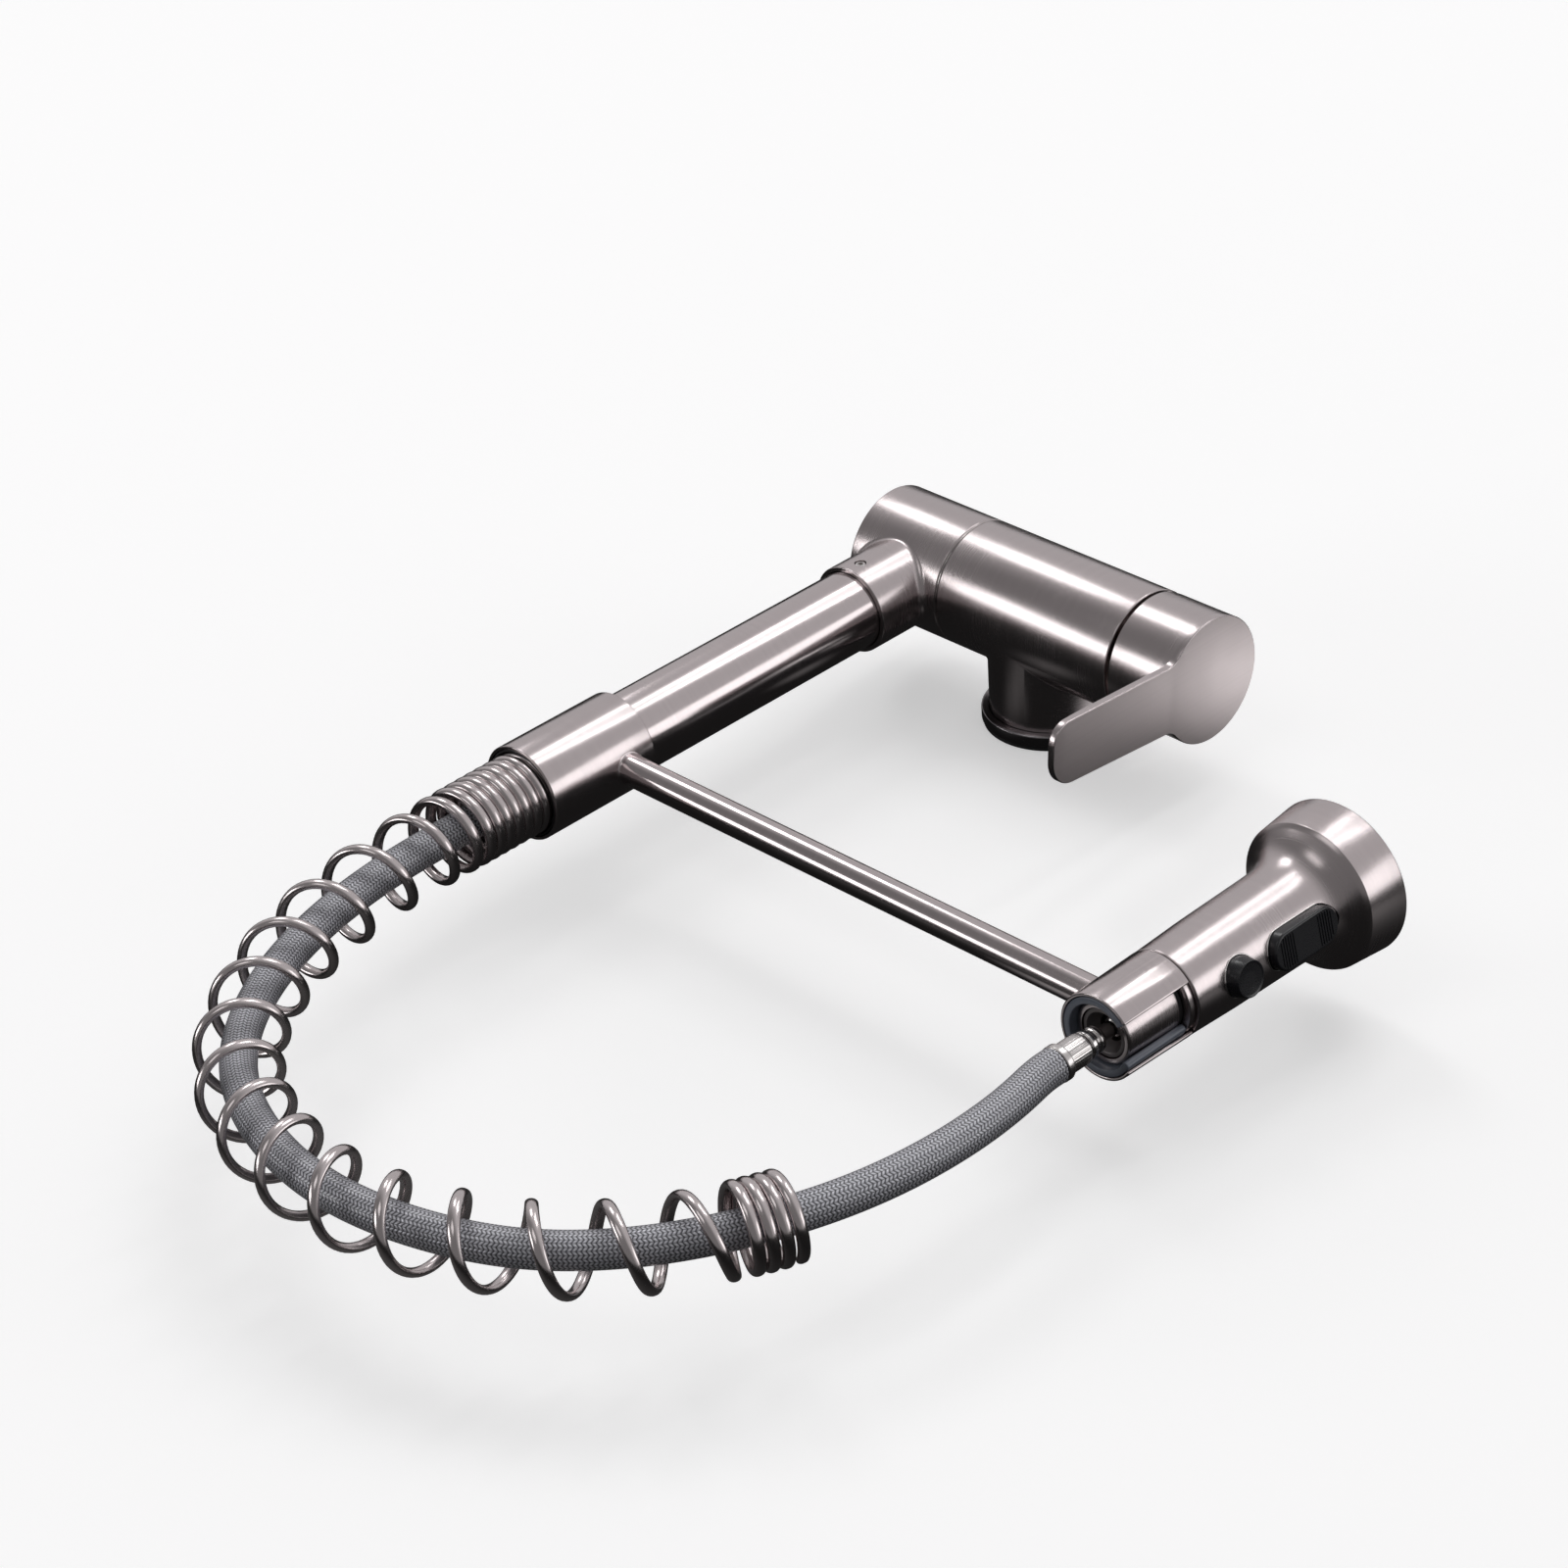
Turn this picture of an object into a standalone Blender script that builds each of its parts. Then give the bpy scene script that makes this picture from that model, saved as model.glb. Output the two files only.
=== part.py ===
# Fold-down kitchen faucet with a spring neck and a pull-down spray head.
# Frame: origin on the deck under the stub's centre, +Z up, +X along the body
# towards the lever. The spout is folded flat, so the riser points along -Y.
import math

import bmesh
import bpy
import numpy as np
from mathutils import Matrix, Vector

mm = 0.001
fit = 0.3 * mm            # clearance between pieces that seat on each other

# --- body, base and deck --------------------------------------------------
axis_height = 46.4 * mm
body_radius = 25.0 * mm
body_right = 50.2 * mm
seam_x = -34.0 * mm
seam_width = 1.0 * mm
stub_radius = body_radius - 1.85 * mm
gasket_thickness = 1.4 * mm
gasket_radius = body_radius + 0.6 * mm
gasket_bore = 17.4 * mm
flange_radius = body_radius + 1.2 * mm
flange_top = 6.7 * mm
inlet_radius = 4.6 * mm
inlet_offset = 8.5 * mm
inlet_depth = 20.0 * mm
stud_radius = 4.0 * mm

# --- cartridge ------------------------------------------------------------
cartridge_radius = body_radius - 5.1 * mm
cartridge_left = 9.3 * mm
cavity_radius = cartridge_radius - 6.7 * mm
nut_left = 42.0 * mm
nut_right = 49.6 * mm

# --- riser, sleeve and arm ------------------------------------------------
riser_radius = 15.5 * mm
riser_wall = 1.5 * mm
riser_end = 185.0 * mm
spring_wire = 2.0 * mm
spring_radius = 13.75 * mm
bush_radius = spring_radius + spring_wire + 1.15 * mm
bush_wall = 0.7 * mm
sleeve_radius = max(riser_radius + 2.95 * mm, bush_radius + 1.55 * mm)
sleeve_start = riser_end - 18.1 * mm
sleeve_end = riser_end + 30.7 * mm
arm_at = riser_end - 5.7 * mm
arm_radius = 5.9 * mm
arm_reach = 256.9 * mm
arm_stop = 15.15 * mm     # from the arm's end to the head's axis

# --- turning tee collar ---------------------------------------------------
collar_left = -79.4 * mm
riser_x = -58.5 * mm
spigot_radius = body_radius - 8.0 * mm
spigot_left = -72.2 * mm
spigot_right = -18.6 * mm
spigot_bore = 8.0 * mm
thread_radius = body_radius - 11.3 * mm
washer_radius = body_radius - 5.5 * mm
washer_thickness = 1.5 * mm
end_cap_thickness = 1.8 * mm
screw_radius = 2.3 * mm
o_ring_wire = 0.8 * mm
groove_width = 2.4 * mm
ring_seat = o_ring_wire * 2 + 0.3 * mm
tee_radius = riser_radius + 1.95 * mm
riser_start = spigot_radius + 5.3 * mm
tee_end = riser_start + 24.1 * mm
set_screw_at = riser_start + 17.3 * mm
set_screw_radius = 2.0 * mm

# --- hose and spring ------------------------------------------------------
hose_radius = 6.4 * mm
hose_start = riser_end + 4.3 * mm
tight_pitch = 4.5 * mm
open_pitch = 24.72 * mm
open_from = 50.0 * mm     # where the coils start to open, along the hose
open_ease = 40.0 * mm
shut_from = 429.2 * mm    # where they start to close again
shut_ease = 8.4 * mm
spring_from = 2.5 * mm
spring_to = 452.5 * mm
spring_phase = 88.4       # degrees, the wire's start about the hose

# --- clip -----------------------------------------------------------------
head_rear = arm_at - 14.5 * mm
clip_mouth = arm_at + 17.7 * mm
clip_front = head_rear + 0.5 * mm
clip_mouth_radius = 16.0 * mm
clip_front_radius = 16.5 * mm
clip_wall = 1.2 * mm
slot_upper = 40.0
slot_lower = -32.0
liner_wall = 2.5 * mm

# --- spray head -----------------------------------------------------------
hose_stop = clip_mouth + 20.9 * mm
tail_end = clip_mouth - 3.0 * mm
tail_radius = clip_mouth_radius - 4.4 * mm
head_rear_radius = 16.4 * mm
shoulder_end = head_rear + 2.9 * mm
shoulder_radius = clip_front_radius - clip_wall - 0.35 * mm
head_waist_radius = 17.8 * mm
rim_rear = head_rear - 78.3 * mm
rim_rear_radius = head_waist_radius + 10.0 * mm
rim_radius = rim_rear_radius + 1.25 * mm
head_front = rim_rear - 14.7 * mm
head_wall = 1.8 * mm
core_radius = head_rear_radius - 2.1 * mm
aerator_radius = 9.2 * mm
head_turn = 12.0          # degrees the buttons sit above the arm's level
button_at = head_rear - 20.7 * mm
button_radius = 7.15 * mm
button_rise = 4.6 * mm
rocker_at = head_rear - 51.2 * mm
rocker_length = 32.6 * mm
rocker_width = 14.2 * mm
rocker_rise = 2.6 * mm
end_play = 0.7 * mm       # room past the rocker's ends for its tilt

# --- lever ----------------------------------------------------------------
skirt_x = 51.9 * mm
face_x = 80.5 * mm
skirt_wall = 2.5 * mm
paddle_thickness = 2.9 * mm
paddle_reach = body_radius + 61.5 * mm
paddle_half_root = 13.5 * mm
paddle_half_tip = 12.7 * mm
paddle_lift = 4.4         # degrees the paddle points above level
tilt_x = 57.0 * mm
tilt_open = 15.0          # degrees of lever travel
stem_radius = 4.0 * mm
turret_radius = 9.0 * mm
turret_top = 59.5 * mm
boss_low = 63.8 * mm
screw_x = 68.5 * mm
pin_radius = 1.3 * mm

head_x = riser_x + arm_reach
level = Vector((0, 0, axis_height))
riser_axis = Vector((riser_x, 0, axis_height))
head_axis = Vector((head_x, 0, axis_height))
outward = Matrix.Rotation(-math.radians(head_turn), 4, "Y")

directions = {
    "X": (Vector((1, 0, 0)), Vector((0, 1, 0))),
    "Y": (Vector((0, -1, 0)), Vector((1, 0, 0))),
    "Z": (Vector((0, 0, 1)), Vector((1, 0, 0))),
}
frames = {}


def clear_scene():
    for item in list(bpy.data.objects):
        bpy.data.objects.remove(item, do_unlink=True)


def material(name, colour, roughness, metallic):
    look = bpy.data.materials.new(name)
    look.use_nodes = True
    shader = look.node_tree.nodes["Principled BSDF"]
    shader.inputs["Base Color"].default_value = (*colour, 1.0)
    shader.inputs["Roughness"].default_value = roughness
    shader.inputs["Metallic"].default_value = metallic
    return look


looks = {
    "nickel": ((0.55, 0.52, 0.50), 0.28, 1.0),
    "steel": ((0.62, 0.60, 0.58), 0.22, 1.0),
    "brass": ((0.72, 0.55, 0.28), 0.35, 1.0),
    "dark_nickel": ((0.30, 0.29, 0.28), 0.25, 1.0),
    "rubber": ((0.02, 0.02, 0.02), 0.7, 0.0),
    "black_plastic": ((0.025, 0.025, 0.028), 0.4, 0.0),
    "grey_plastic": ((0.10, 0.11, 0.13), 0.45, 0.0),
    "white_plastic": ((0.75, 0.75, 0.73), 0.45, 0.0),
    "ceramic": ((0.85, 0.84, 0.80), 0.25, 0.0),
    "braid": ((0.40, 0.41, 0.43), 0.4, 0.6),
    "red_plastic": ((0.55, 0.04, 0.03), 0.4, 0.0),
}


def finish(name, bm, look, at, parent=None, smooth=True):
    """Puts a mesh on the scene with its origin at a joint's axis."""
    bmesh.ops.remove_doubles(bm, verts=bm.verts[:], dist=1e-7)
    bmesh.ops.recalc_face_normals(bm, faces=bm.faces[:])
    mesh = bpy.data.meshes.new(name)
    bm.to_mesh(mesh)
    bm.free()
    obj = bpy.data.objects.new(name, mesh)
    bpy.context.scene.collection.objects.link(obj)
    obj.location = at
    if look:
        mesh.materials.append(material(name + "_look", *looks[look]))
    if smooth:
        mesh.shade_smooth()
        mesh.set_sharp_from_angle(angle=math.radians(35))
    if parent:
        hang(obj, parent)
    return obj


def hang(obj, parent):
    obj.location = obj.location - frames[parent][1]
    obj.parent = frames[parent][0]


def joint_frame(name, at, parent=None):
    empty = bpy.data.objects.new(name, None)
    bpy.context.scene.collection.objects.link(empty)
    empty.empty_display_size = 0.02
    empty.location = at
    frames[name] = (empty, Vector(at))
    if parent:
        hang(empty, parent)


def turned(name, profile, axis, at, look=None, parent=None, steps=32):
    """Turns (station, radius) pairs about an axis through the point at."""
    along, out = directions[axis]
    bm = bmesh.new()
    points = [bm.verts.new(along * t + out * r) for t, r in profile]
    edges = [bm.edges.new(pair) for pair in zip(points, points[1:])]
    if profile[0][1] > 0:
        edges.append(bm.edges.new((points[-1], points[0])))
    bmesh.ops.spin(bm, geom=points + edges, cent=(0, 0, 0), axis=along,
                   angle=math.tau, steps=steps, use_merge=True)
    return finish(name, bm, look, at, parent)


def tube(name, low, high, inner, outer, axis, at, look=None, parent=None, steps=32, ease=0.0):
    """A ring with an eased outer edge."""
    profile = [(low, inner), (low, outer - ease), (low + ease, outer)]
    profile += [(high - ease, outer), (high, outer - ease), (high, inner)]
    if ease == 0.0:
        profile = [(low, inner), (low, outer), (high, outer), (high, inner)]
    return turned(name, profile, axis, at, look, parent, steps)


def rod(name, low, high, radius, axis, at, look=None, parent=None, steps=24):
    profile = [(low, 0.0), (low, radius), (high, radius), (high, 0.0)]
    return turned(name, profile, axis, at, look, parent, steps)


def o_ring(name, station, radius, wire, axis, at, parent, steps=20, sides=5):
    turn = [math.tau * i / sides for i in range(sides)]
    profile = [(station + wire * math.cos(a), radius + wire * math.sin(a)) for a in turn]
    return turned(name, profile, axis, at, "rubber", parent, steps)


def box(name, low, high, at):
    size = [b - a for a, b in zip(low, high)]
    middle = [(a + b) / 2 for a, b in zip(low, high)]
    bm = bmesh.new()
    shape = Matrix.Translation(middle) @ Matrix.Diagonal((*size, 1.0))
    bmesh.ops.create_cube(bm, size=1.0, matrix=shape)
    return finish(name, bm, None, at, smooth=False)


def swing(obj, matrix):
    """Turns a mesh about its own origin."""
    obj.data.transform(matrix)
    return obj


def combine(target, tool, operation):
    """Runs an exact Boolean, keeps the result as the mesh and drops the tool."""
    change = target.modifiers.new("Boolean", "BOOLEAN")
    change.operation = operation
    change.object = tool
    change.solver = "EXACT"
    bpy.context.view_layer.update()
    graph = bpy.context.evaluated_depsgraph_get()
    result = bpy.data.meshes.new_from_object(target.evaluated_get(graph))
    target.modifiers.clear()
    bm = bmesh.new()
    bm.from_mesh(result)
    bmesh.ops.remove_doubles(bm, verts=bm.verts[:], dist=2e-6)
    bmesh.ops.dissolve_degenerate(bm, edges=bm.edges[:], dist=1e-6)
    bm.to_mesh(result)
    bm.free()
    result.shade_smooth()
    result.set_sharp_from_angle(angle=math.radians(35))
    target.data = result
    bpy.data.objects.remove(tool, do_unlink=True)
    return target


def cut(target, tool):
    return combine(target, tool, "DIFFERENCE")


def extruded(name, outline, lift, base, at, look=None, parent=None):
    """Extrudes a closed outline of 3D points along a vector."""
    bm = bmesh.new()
    points = [bm.verts.new(p) for p in outline]
    face = bm.faces.new(points)
    grown = bmesh.ops.extrude_face_region(bm, geom=[face])
    moved = [v for v in grown["geom"] if isinstance(v, bmesh.types.BMVert)]
    bmesh.ops.translate(bm, verts=moved, vec=lift)
    bmesh.ops.translate(bm, verts=bm.verts[:], vec=base)
    return finish(name, bm, look, at, parent)


def natural_spline(knots, values, at):
    """Cubic curve through the values, with free ends."""
    n = len(knots)
    h = np.diff(knots)
    slope = np.diff(values) / h
    system = np.eye(n)
    right = np.zeros(n)
    for i in range(1, n - 1):
        system[i, i - 1] = h[i - 1]
        system[i, i] = 2 * (h[i - 1] + h[i])
        system[i, i + 1] = h[i]
        right[i] = 6 * (slope[i] - slope[i - 1])
    moment = np.linalg.solve(system, right)
    k = np.clip(np.searchsorted(knots, at) - 1, 0, n - 2)
    a = (knots[k + 1] - at) / h[k]
    b = (at - knots[k]) / h[k]
    curve = a * values[k] + b * values[k + 1]
    return curve + ((a ** 3 - a) * moment[k] + (b ** 3 - b) * moment[k + 1]) * h[k] ** 2 / 6


# The hose's own route as shares of the arm's reach: from the riser across to the
# head, and away from the hose's start.
bend = [
    (0.0012, 0.2363), (0.0051, 0.3453), (0.0214, 0.4582), (0.0603, 0.5827), (0.1226, 0.6956),
    (0.216, 0.7929), (0.3445, 0.8571), (0.5002, 0.8805), (0.6442, 0.8571), (0.7688, 0.8007),
    (0.87, 0.7073), (0.9439, 0.5905), (0.9907, 0.4698), (1.0121, 0.3531), (1.014, 0.2441),
    (1.0062, 0.174),
]
route = [(riser_x, -hose_start), (riser_x, -hose_start - 26.7 * mm)]
route += [(riser_x + u * arm_reach, -hose_start - v * arm_reach) for u, v in bend]
route += [(head_x, -hose_stop - 4.6 * mm), (head_x, -hose_stop)]
route = np.array(route)


def hose_line():
    """Points, tangents and distance along the smooth route."""
    steps = np.linalg.norm(np.diff(route, axis=0), axis=1)
    knots = np.concatenate([[0.0], np.cumsum(steps)])
    fine = np.linspace(0.0, knots[-1], 4001)
    x = natural_spline(knots, route[:, 0], fine)
    y = natural_spline(knots, route[:, 1], fine)
    line = np.stack([x, y, np.full_like(x, axis_height)], axis=1)
    gone = np.concatenate([[0.0], np.cumsum(np.linalg.norm(np.diff(line, axis=0), axis=1))])
    heading = np.gradient(line, gone, axis=0)
    heading /= np.linalg.norm(heading, axis=1)[:, None]
    return line, heading, gone


def wire_object(name, points, radius, sides, look, parent):
    """A round wire along points, with closed ends."""
    curve = bpy.data.curves.new(name, "CURVE")
    curve.dimensions = "3D"
    curve.bevel_depth = radius
    curve.bevel_resolution = sides
    curve.use_fill_caps = True
    curve.resolution_u = 1
    curve.render_resolution_u = 1
    strand = curve.splines.new("POLY")
    strand.points.add(len(points) - 1)
    for spot, p in zip(strand.points, points):
        spot.co = (p[0], p[1], p[2], 1.0)
    obj = bpy.data.objects.new(name, curve)
    bpy.context.scene.collection.objects.link(obj)
    curve.materials.append(material(name + "_look", *looks[look]))
    hang(obj, parent)
    return obj


def ramp(value):
    value = np.clip(value, 0.0, 1.0)
    return value * value * (3 - 2 * value)


def spring_points(per_turn):
    """The coil's centre line: tight, then open, then tight round the hose."""
    line, heading, gone = hose_line()
    s = np.linspace(spring_from, spring_to, 8001)
    opening = ramp((s - open_from) / open_ease) * (1 - ramp((s - shut_from) / shut_ease))
    pitch = tight_pitch + (open_pitch - tight_pitch) * opening
    turns = np.concatenate([[0.0], np.cumsum(np.diff(s) / ((pitch[1:] + pitch[:-1]) / 2))])
    count = int(turns[-1] * per_turn) + 1
    wanted = np.arange(count) / per_turn
    at = np.interp(wanted, turns, s)
    angle = math.tau * wanted + math.radians(spring_phase)
    centre = np.stack([np.interp(at, gone, line[:, i]) for i in range(3)], axis=1)
    ahead = np.stack([np.interp(at, gone, heading[:, i]) for i in range(3)], axis=1)
    up = np.array([0.0, 0.0, 1.0])
    side = np.cross(ahead, up)
    return centre + spring_radius * (np.cos(angle)[:, None] * up + np.sin(angle)[:, None] * side)


def make_base():
    tube("base_gasket", 0.0, gasket_thickness, gasket_bore, gasket_radius, "Z", (0, 0, 0),
         "rubber", steps=28)
    foot = gasket_thickness + fit
    tube("base_flange", foot, flange_top, stub_radius + fit, flange_radius, "Z", (0, 0, 0),
         "dark_nickel", steps=40, ease=0.6 * mm)
    ease = 0.4 * mm
    profile = [(seam_x, 0.0), (seam_x, body_radius - ease), (seam_x + ease, body_radius)]
    profile += [(body_right - ease, body_radius), (body_right, body_radius - ease), (body_right, 0.0)]
    body = turned("body_shell", profile, "X", level, "nickel", steps=40)
    stub = rod("stub", foot, axis_height - 2 * mm, stub_radius, "Z", (0, 0, 0), steps=40)
    combine(body, stub, "UNION")
    bore = cartridge_radius + fit
    hollow = [(seam_x - 2 * mm, 0.0), (seam_x - 2 * mm, thread_radius + fit)]
    hollow += [(spigot_right + fit, thread_radius + fit), (spigot_right + fit, spigot_bore)]
    hollow += [(cartridge_left - fit, spigot_bore), (cartridge_left - fit, bore)]
    hollow += [(body_right + 2 * mm, bore), (body_right + 2 * mm, 0.0)]
    cut(body, turned("waterway", hollow, "X", level, steps=24))
    for spot, radius in (((-inlet_offset, inlet_offset), inlet_radius),
                         ((-inlet_offset, -inlet_offset), inlet_radius),
                         ((inlet_offset * 1.4, 0.0), stud_radius)):
        hole = rod("hole", -2 * mm, inlet_depth, radius, "Z", (*spot, 0.0), steps=10)
        cut(body, hole)


def make_spigot():
    """The hollow axle that the tee collar turns on, screwed into the body."""
    floor = spigot_radius - ring_seat
    first = -41.0 * mm
    second = -68.4 * mm
    half = groove_width / 2
    channel = spigot_radius - 4.5 * mm
    profile = [(spigot_left, 0.0), (spigot_left, spigot_radius)]
    profile += [(second - half, spigot_radius), (second - half, floor)]
    profile += [(second + half, floor), (second + half, spigot_radius)]
    profile += [(riser_x - 6.5 * mm, spigot_radius), (riser_x - 6.5 * mm, channel)]
    profile += [(riser_x + 6.5 * mm, channel), (riser_x + 6.5 * mm, spigot_radius)]
    profile += [(first - half, spigot_radius), (first - half, floor)]
    profile += [(first + half, floor), (first + half, spigot_radius)]
    shoulder = seam_x - seam_width
    profile += [(shoulder, spigot_radius), (shoulder, thread_radius), (spigot_right, thread_radius)]
    profile += [(spigot_right, spigot_bore - 1 * mm), (riser_x - 4.5 * mm, spigot_bore - 1 * mm)]
    profile += [(riser_x - 4.5 * mm, 0.0)]
    spigot = turned("fold_spigot", profile, "X", level, "brass", steps=24)
    port = rod("port", -30 * mm, 30 * mm, 3.2 * mm, "Y", riser_axis, steps=10)
    cut(spigot, port)
    hole = rod("hole", spigot_left - 2 * mm, spigot_left + 7.5 * mm, screw_radius + fit, "X", level,
               steps=10)
    cut(spigot, hole)
    centre = spigot_radius - o_ring_wire
    o_ring("spigot_o_ring_inner", first, centre, o_ring_wire, "X", level, None)
    o_ring("spigot_o_ring_outer", second, centre, o_ring_wire, "X", level, None)
    start = spigot_left - fit - washer_thickness
    tube("retaining_washer", start, spigot_left - fit, screw_radius + fit, washer_radius,
         "X", level, "steel", steps=24)
    head = start - fit
    profile = [(head - 2.2 * mm, 0.0), (head - 2.2 * mm, 4.2 * mm), (head, 4.6 * mm), (head, screw_radius)]
    profile += [(spigot_left + 6.5 * mm, screw_radius), (spigot_left + 6.5 * mm, 0.0)]
    turned("retaining_screw", profile, "X", level, "steel", steps=16)


def make_collar():
    right = seam_x - seam_width
    ease = 0.4 * mm
    profile = [(collar_left, 0.0), (collar_left, body_radius - ease), (collar_left + ease, body_radius)]
    profile += [(right - ease, body_radius), (right, body_radius - ease), (right, 0.0)]
    tee = turned("tee_collar", profile, "X", level, "nickel", "fold_axis", steps=40)
    branch = [(2 * mm, 0.0), (2 * mm, tee_radius), (tee_end - ease, tee_radius)]
    branch += [(tee_end, tee_radius - ease), (tee_end, 0.0)]
    combine(tee, turned("branch", branch, "Y", riser_axis, steps=32), "UNION")
    seat = spigot_left + fit
    hollow = [(collar_left - 2 * mm, 0.0), (collar_left - 2 * mm, washer_radius + fit)]
    hollow += [(seat, washer_radius + fit), (seat, spigot_radius + fit)]
    hollow += [(right + 2 * mm, spigot_radius + fit), (right + 2 * mm, 0.0)]
    cut(tee, turned("bore", hollow, "X", level, steps=24))
    socket = [(4 * mm, 0.0), (4 * mm, spigot_bore), (riser_start - fit, spigot_bore)]
    socket += [(riser_start - fit, riser_radius + fit), (tee_end + 2 * mm, riser_radius + fit)]
    socket += [(tee_end + 2 * mm, 0.0)]
    cut(tee, turned("socket", socket, "Y", riser_axis, steps=24))
    screw_spot = riser_axis + Vector((0, -set_screw_at, 0))
    hole = rod("hole", 10 * mm, tee_radius + 3 * mm, set_screw_radius + fit, "Z", screw_spot, steps=16)
    cut(tee, hole)
    low = riser_radius - 1.2 * mm + fit
    screw = rod("tee_set_screw", low, tee_radius - 0.4 * mm, set_screw_radius, "Z", screw_spot,
                "steel", "fold_axis", steps=16)
    cut(screw, rod("hex", tee_radius - 1.6 * mm, tee_radius + 2 * mm, 1.1 * mm, "Z", screw_spot, steps=6))
    tube("fold_slide_ring", right + fit, seam_x - fit, spigot_radius + fit, body_radius - 0.2 * mm,
         "X", level, "steel", "fold_axis", steps=40)
    cap = collar_left + 0.3 * mm
    rod("collar_end_cap", cap, cap + end_cap_thickness, washer_radius, "X", level, "nickel",
        "fold_axis", steps=32)


def make_riser():
    floor = riser_radius - ring_seat
    half = groove_width / 2
    throat = riser_radius - 3.3 * mm
    upper, lower = riser_start + 4.1 * mm, riser_start + 9.1 * mm
    outer = [(riser_start, throat), (riser_start, riser_radius)]
    for ring in (upper, lower):
        outer += [(ring - half, riser_radius), (ring - half, floor)]
        outer += [(ring + half, floor), (ring + half, riser_radius)]
    reach = set_screw_radius + 2 * fit
    outer += [(set_screw_at - reach, riser_radius), (set_screw_at - reach, riser_radius - 1.2 * mm)]
    outer += [(set_screw_at + reach, riser_radius - 1.2 * mm), (set_screw_at + reach, riser_radius)]
    outer += [(riser_end, riser_radius), (riser_end, riser_radius - riser_wall)]
    outer += [(tee_end + 1.6 * mm, riser_radius - riser_wall), (tee_end + 1.6 * mm, throat)]
    turned("riser_tube", outer, "Y", riser_axis, "nickel", "swivel_axis", steps=24)
    centre = riser_radius - o_ring_wire
    o_ring("riser_o_ring_upper", upper, centre, o_ring_wire, "Y", riser_axis, "swivel_axis")
    o_ring("riser_o_ring_lower", lower, centre, o_ring_wire, "Y", riser_axis, "swivel_axis")
    bore = bush_radius + fit
    ease = 0.4 * mm
    profile = [(sleeve_start, riser_radius + fit), (sleeve_start, sleeve_radius - ease)]
    profile += [(sleeve_start + ease, sleeve_radius), (sleeve_end - ease, sleeve_radius)]
    profile += [(sleeve_end, sleeve_radius - ease), (sleeve_end, bore)]
    profile += [(riser_end + 1 * mm, bore), (riser_end + 1 * mm, riser_radius + fit)]
    sleeve = turned("arm_sleeve", profile, "Y", riser_axis, "nickel", "swivel_axis", steps=28)
    spot = Vector((riser_x, -arm_at, axis_height))
    cut(sleeve, rod("hole", 10 * mm, 30 * mm, arm_radius + fit, "X", spot, steps=16))
    tube("sleeve_mouth_bush", sleeve_end - 12 * mm, sleeve_end - 0.5 * mm, bush_radius - bush_wall,
         bush_radius, "Y", riser_axis, "black_plastic", "swivel_axis", steps=24)
    flange = riser_radius - riser_wall - fit
    back, step = riser_end - 14 * mm, riser_end - 2 * mm
    profile = [(back, 4 * mm), (back, flange), (step, flange), (step, hose_radius - 0.6 * mm)]
    profile += [(hose_start - fit, hose_radius - 0.6 * mm), (hose_start - fit, 4 * mm)]
    turned("hose_inlet_fitting", profile, "Y", riser_axis, "brass", "swivel_axis", steps=18)
    rod("arm_rod", riser_radius + 1.1 * mm, arm_reach - arm_stop, arm_radius, "X", spot, "nickel",
        "swivel_axis", steps=32)


def clip_radius(station):
    share = (station - clip_front) / (clip_mouth - clip_front)
    return clip_front_radius + (clip_mouth_radius - clip_front_radius) * share


def c_section(name, low, high, outer, inner, look, parent, steps):
    """An open ring about the head's axis: outer and inner give radii by station."""
    first = math.radians(slot_upper)
    last = math.radians(slot_lower) + math.tau
    bm = bmesh.new()
    rows = []
    for station in (low, high):
        for radius in (outer(station), inner(station)):
            row = []
            for i in range(steps + 1):
                a = first + (last - first) * i / steps
                row.append(bm.verts.new((radius * math.cos(a), -station, radius * math.sin(a))))
            rows.append(row)
    sides = ((0, 1), (1, 3), (3, 2), (2, 0))
    for a, b in sides:
        for i in range(steps):
            bm.faces.new((rows[a][i], rows[b][i], rows[b][i + 1], rows[a][i + 1]))
    for i in (0, steps):
        bm.faces.new((rows[0][i], rows[1][i], rows[3][i], rows[2][i]))
    return finish(name, bm, look, head_axis, parent)


def make_clip():
    shell = c_section("clip_shell", clip_front, clip_mouth, clip_radius,
                      lambda s: clip_radius(s) - clip_wall, "nickel", "swivel_axis", 30)
    spot = Vector((head_x, -arm_at, axis_height))
    cut(shell, rod("hole", -22 * mm, -10 * mm, arm_radius + fit, "X", spot, steps=16))
    c_section("clip_liner", shoulder_end + 0.4 * mm, clip_mouth,
              lambda s: clip_radius(s) - clip_wall - fit,
              lambda s: clip_radius(s) - clip_wall - fit - liner_wall, "grey_plastic", "swivel_axis", 24)


def make_hose():
    line, heading, gone = hose_line()
    at = np.append(np.linspace(0.0, gone[-1] - 2 * mm, 30), gone[-1])
    points = np.stack([np.interp(at, gone, line[:, i]) for i in range(3)], axis=1)
    wire_object("hose", points, hose_radius, 2, "braid", "swivel_axis")
    wire_object("neck_spring", spring_points(6), spring_wire, 1, "nickel", "swivel_axis")


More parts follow.
